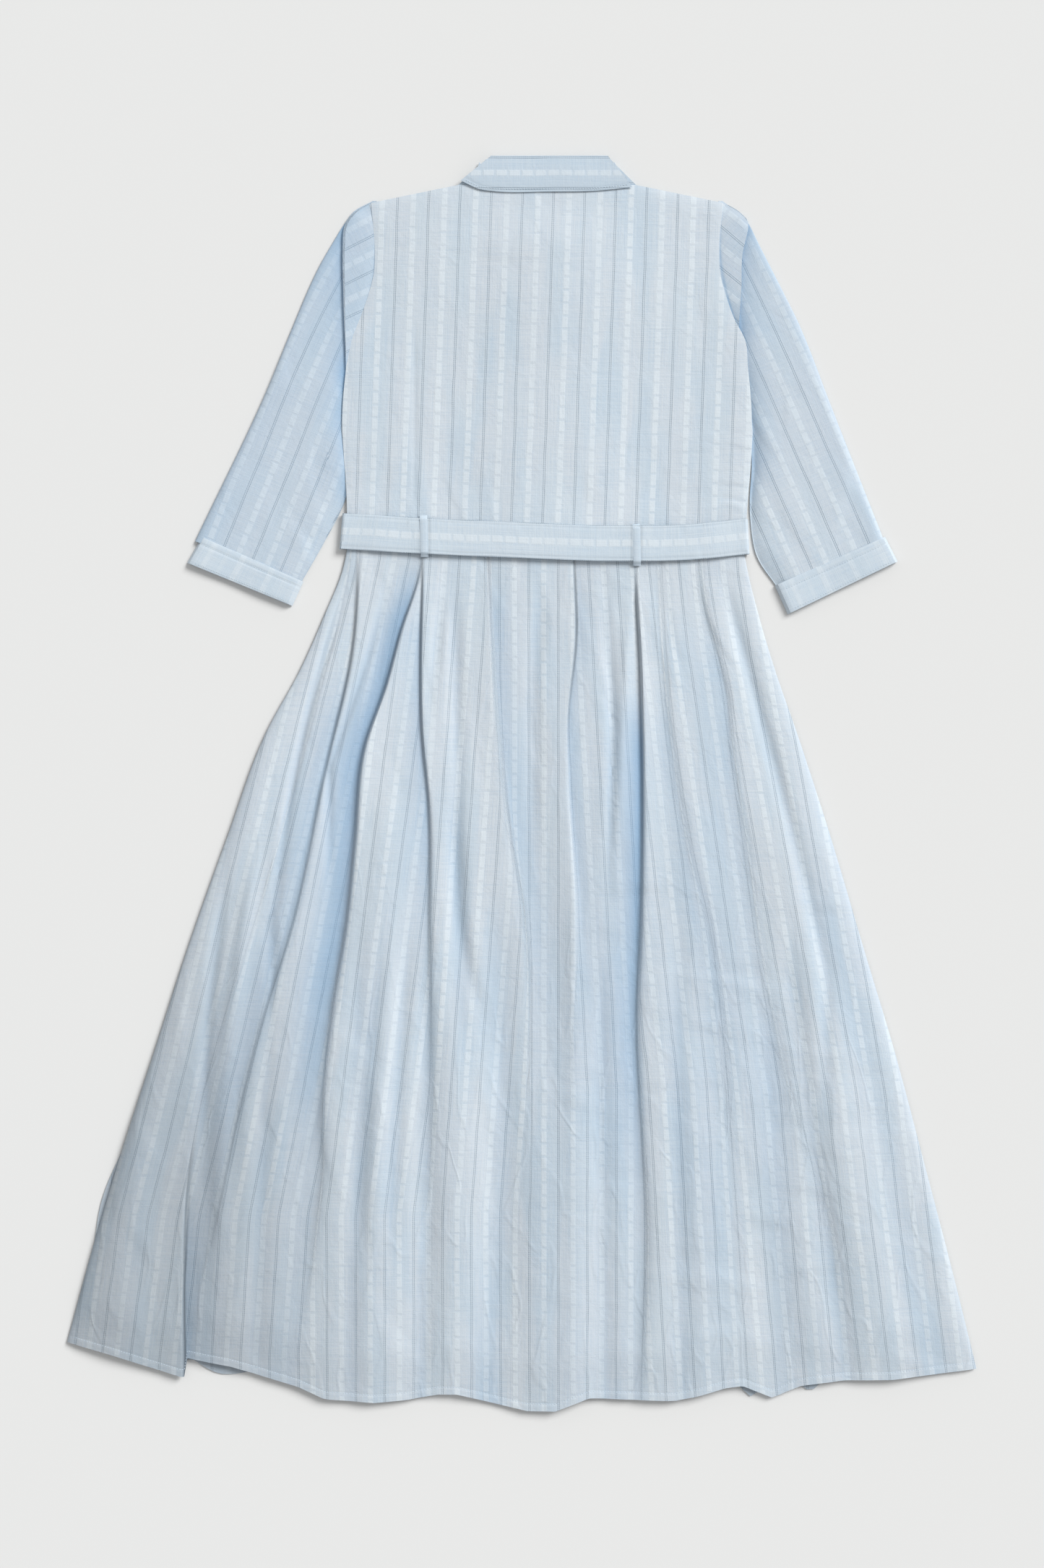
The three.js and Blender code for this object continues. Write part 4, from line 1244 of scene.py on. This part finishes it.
def makeBelt():
    look = beltLook
    halfWidth = look["width"] / 2
    back = np.linspace(look["left"], look["right"], look["backColumns"])
    level = look["top"] - 2.0 * bell((back - 213) / 40) - 2.0 * bell((back + 219) / 40)
    level = level + 0.5 * np.cos(back / 55)
    level = level + 0.7 * np.exp(-((back + 132) / 16) ** 2) + 0.7 * np.exp(-((back - 96) / 16) ** 2)
    half = np.linspace(0, np.pi, look["turnColumns"] + 2)[1:-1]
    leftX = look["left"] - 2.2 * np.sin(half[::-1])
    leftZ = (level[0] + 0.9) / 2 + (level[0] - 0.9) / 2 * np.cos(half[::-1])
    rightX = look["right"] + 2.2 * np.sin(half)
    rightZ = (level[-1] + 0.9) / 2 + (level[-1] - 0.9) / 2 * np.cos(half)
    frontLeft = np.linspace(-look["front"], look["left"], look["frontColumns"])
    frontRight = np.linspace(look["right"], look["front"], look["frontColumns"])
    frontZ = np.full(look["frontColumns"], look["under"])
    pathX = np.concatenate([frontLeft, leftX, back, rightX, frontRight])
    pathZ = np.concatenate([frontZ, leftZ, level, rightZ, frontZ])
    run = np.concatenate([[0], np.cumsum(np.hypot(np.diff(pathX), np.diff(pathZ)))])
    inset = 1 - look["stitchInset"] / halfWidth
    # rows run from the lower edge to the upper one, so the cloth's second skin is the outer one
    r = np.concatenate([np.linspace(-1, 1, 21), [-0.94, 0.94, -inset, inset]])
    r = np.unique(np.round(r, 4))[:, None]
    firstBack = look["frontColumns"] + look["turnColumns"]
    lastBack = firstBack + look["backColumns"]
    onBack = (np.arange(len(pathX)) >= firstBack) & (np.arange(len(pathX)) < lastBack)
    centre = beltCentre(pathX)[None, :]
    y = centre + r * look["width"] / 2
    slant = np.where(pathX < -150, 3.6, np.where(pathX > 170, -2.2, 0.0)) * np.where(onBack, 1, 0.5)
    x = pathX[None, :] + r * slant[None, :] * 0.9
    fromEdge = (1 - np.abs(r)) * look["width"] / 2
    edge = np.exp(-fromEdge / 1.6)
    stitch = np.exp(-((fromEdge - look["stitchInset"]) / 0.9) ** 2)
    z = pathZ[None, :] + np.where(onBack, -0.5 * edge - 0.3 * stitch, 0)
    rumple = creases(x, y, 41, 20, (-210, 210, 245, 285), (55, 125), (6, 14), (2, 4), (-0.4, 0.4))
    z = z + np.where(onBack, rumple, 0)
    u = (y - centre) * look["stripeScale"] + look["stripeShift"]
    v = run[None, :] + 0 * y
    # painted shadow beside the loops and painted shade in the stitched grooves
    shadow = sum(np.exp(-((np.abs(x - at) - 5.4) / 1.3) ** 2) for at in look["loops"])
    paintedShade = np.where(onBack, 0.22 * shadow + 0.06 * stitch, 0)
    obj = clothSheet("beltStrap", x, y, z, u, v, look["cloth"], 0 * x, paintedShade)
    finish(obj, beltCloth, "belt_cloth", "belt", body="belt_strap")
    for at, label in ((inset, "Top"), (-inset, "Low")):
        k = np.argmin(np.abs(r[:, 0] - at))
        path = np.stack([x[k], y[k], z[k] + 0.15], 1)[firstBack + 2:lastBack - 2]
        stitchRow("beltStitches" + label, path, "belt_cloth", "belt_strap")


loopLook = {
    "rows": 44,
    "columns": 9,
    "half": 4.1,
    "lean": 1.2,
    "low": 8.2,
    "rise": 3.5,
    "cloth": 0.9,
    "stripeShift": 8,
    "flat": (0.010, 0.050),
}


def makeLoop(name, node, x0, top, low):
    look = loopLook
    t = np.linspace(0, 1, look["rows"])[:, None]
    s = np.linspace(-1, 1, look["columns"])[None, :]
    y = top + t * (low - top) + 0 * s
    x = x0 + s * look["half"] + look["lean"] * (t - 0.5)
    end = np.minimum(t, 1 - t) * (top - low)
    z = look["low"] + look["rise"] * ease(end / 5.0)
    z = z - 0.5 * np.abs(s) ** 4 - 0.25 * np.exp(-((np.abs(s) - 0.66) / 0.12) ** 2)
    u = x - x0 + look["stripeShift"]
    # painted shade towards the loop's sides, and the whole loop a little darker and bluer
    paintedShade = 0.04 * np.abs(s) ** 3 + 0 * x
    obj = clothSheet(name, x, y, z, u, y, look["cloth"], 0.05 + 0 * x, paintedShade)
    finish(obj, beltCloth, "belt_cloth", node, body="bodice")


makeBelt()
makeLoop("beltLoopLeft", "belt_loop_left", beltLook["loops"][0], 289.5, 244.5)
makeLoop("beltLoopRight", "belt_loop_right", beltLook["loops"][1], 280, 235)
print("belt made")


# ---- pieces of the front, seen only when the dress is turned or folded

frontLook = {
    "merge": 0.00002,
    "soften": 0.0004,
    "softAbove": 50,  # degrees
    "sharpAbove": 35,
    "bodiceFill": 0.80,  # share of its box that a piece's cloth covers
    "collarFill": 0.5,
}


def softCopy(name, node, material, slotName):
    # A cloth piece on the lines of a CAD solid, with softened edges and cloth coordinates.
    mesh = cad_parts[node].data.copy()
    mesh.name = name
    obj = bpy.data.objects.new(name, mesh)
    scene.collection.objects.link(obj)
    merge = obj.modifiers.new("merge", "WELD")
    merge.merge_threshold = frontLook["merge"]
    soften = obj.modifiers.new("soften", "BEVEL")
    soften.width = frontLook["soften"]
    soften.segments = 2
    soften.limit_method = "ANGLE"
    soften.angle_limit = math.radians(frontLook["softAbove"])
    shaped = bpy.data.meshes.new_from_object(obj.evaluated_get(bpy.context.evaluated_depsgraph_get()))
    obj.modifiers.clear()
    obj.data = shaped
    while shaped.uv_layers:
        shaped.uv_layers.remove(shaped.uv_layers[0])
    layer = shaped.uv_layers.new(name="cloth")
    places = np.zeros(len(shaped.vertices) * 3, np.float32)
    shaped.vertices.foreach_get("co", places)
    corner = np.zeros(len(shaped.loops), np.int32)
    shaped.loops.foreach_get("vertex_index", corner)
    uv = places.reshape(-1, 3)[corner][:, :2] - np.array([originX, originY], np.float32)
    layer.data.foreach_set("uv", uv.astype(np.float32).ravel())
    shaped.polygons.foreach_set("use_smooth", [True] * len(shaped.polygons))
    shaped.set_sharp_from_angle(angle=math.radians(frontLook["sharpAbove"]))
    finish(obj, material, slotName, node, body="bodice")


def makeFrontPieces():
    softCopy("frontBodiceLeft", "front_bodice_left", dressCloth, "dress_cloth")
    softCopy("frontBodiceRight", "front_bodice_right", dressCloth, "dress_cloth")
    softCopy("buttonPlacket", "button_placket", facedCloth, "faced_cloth")
    softCopy("buttonholePlacket", "buttonhole_placket", facedCloth, "faced_cloth")
    softCopy("collarPointLeft", "collar_point_left", facedCloth, "faced_cloth")
    softCopy("collarPointRight", "collar_point_right", facedCloth, "faced_cloth")
    softCopy("standWingLeft", "stand_wing_left", facedCloth, "faced_cloth")
    softCopy("standWingRight", "stand_wing_right", facedCloth, "faced_cloth")
    for name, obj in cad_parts.items():
        if "button" in name and "placket" not in name:
            obj.data.materials.clear()
            obj.data.materials.append(pearlFinish)


makeFrontPieces()
print("front pieces made")
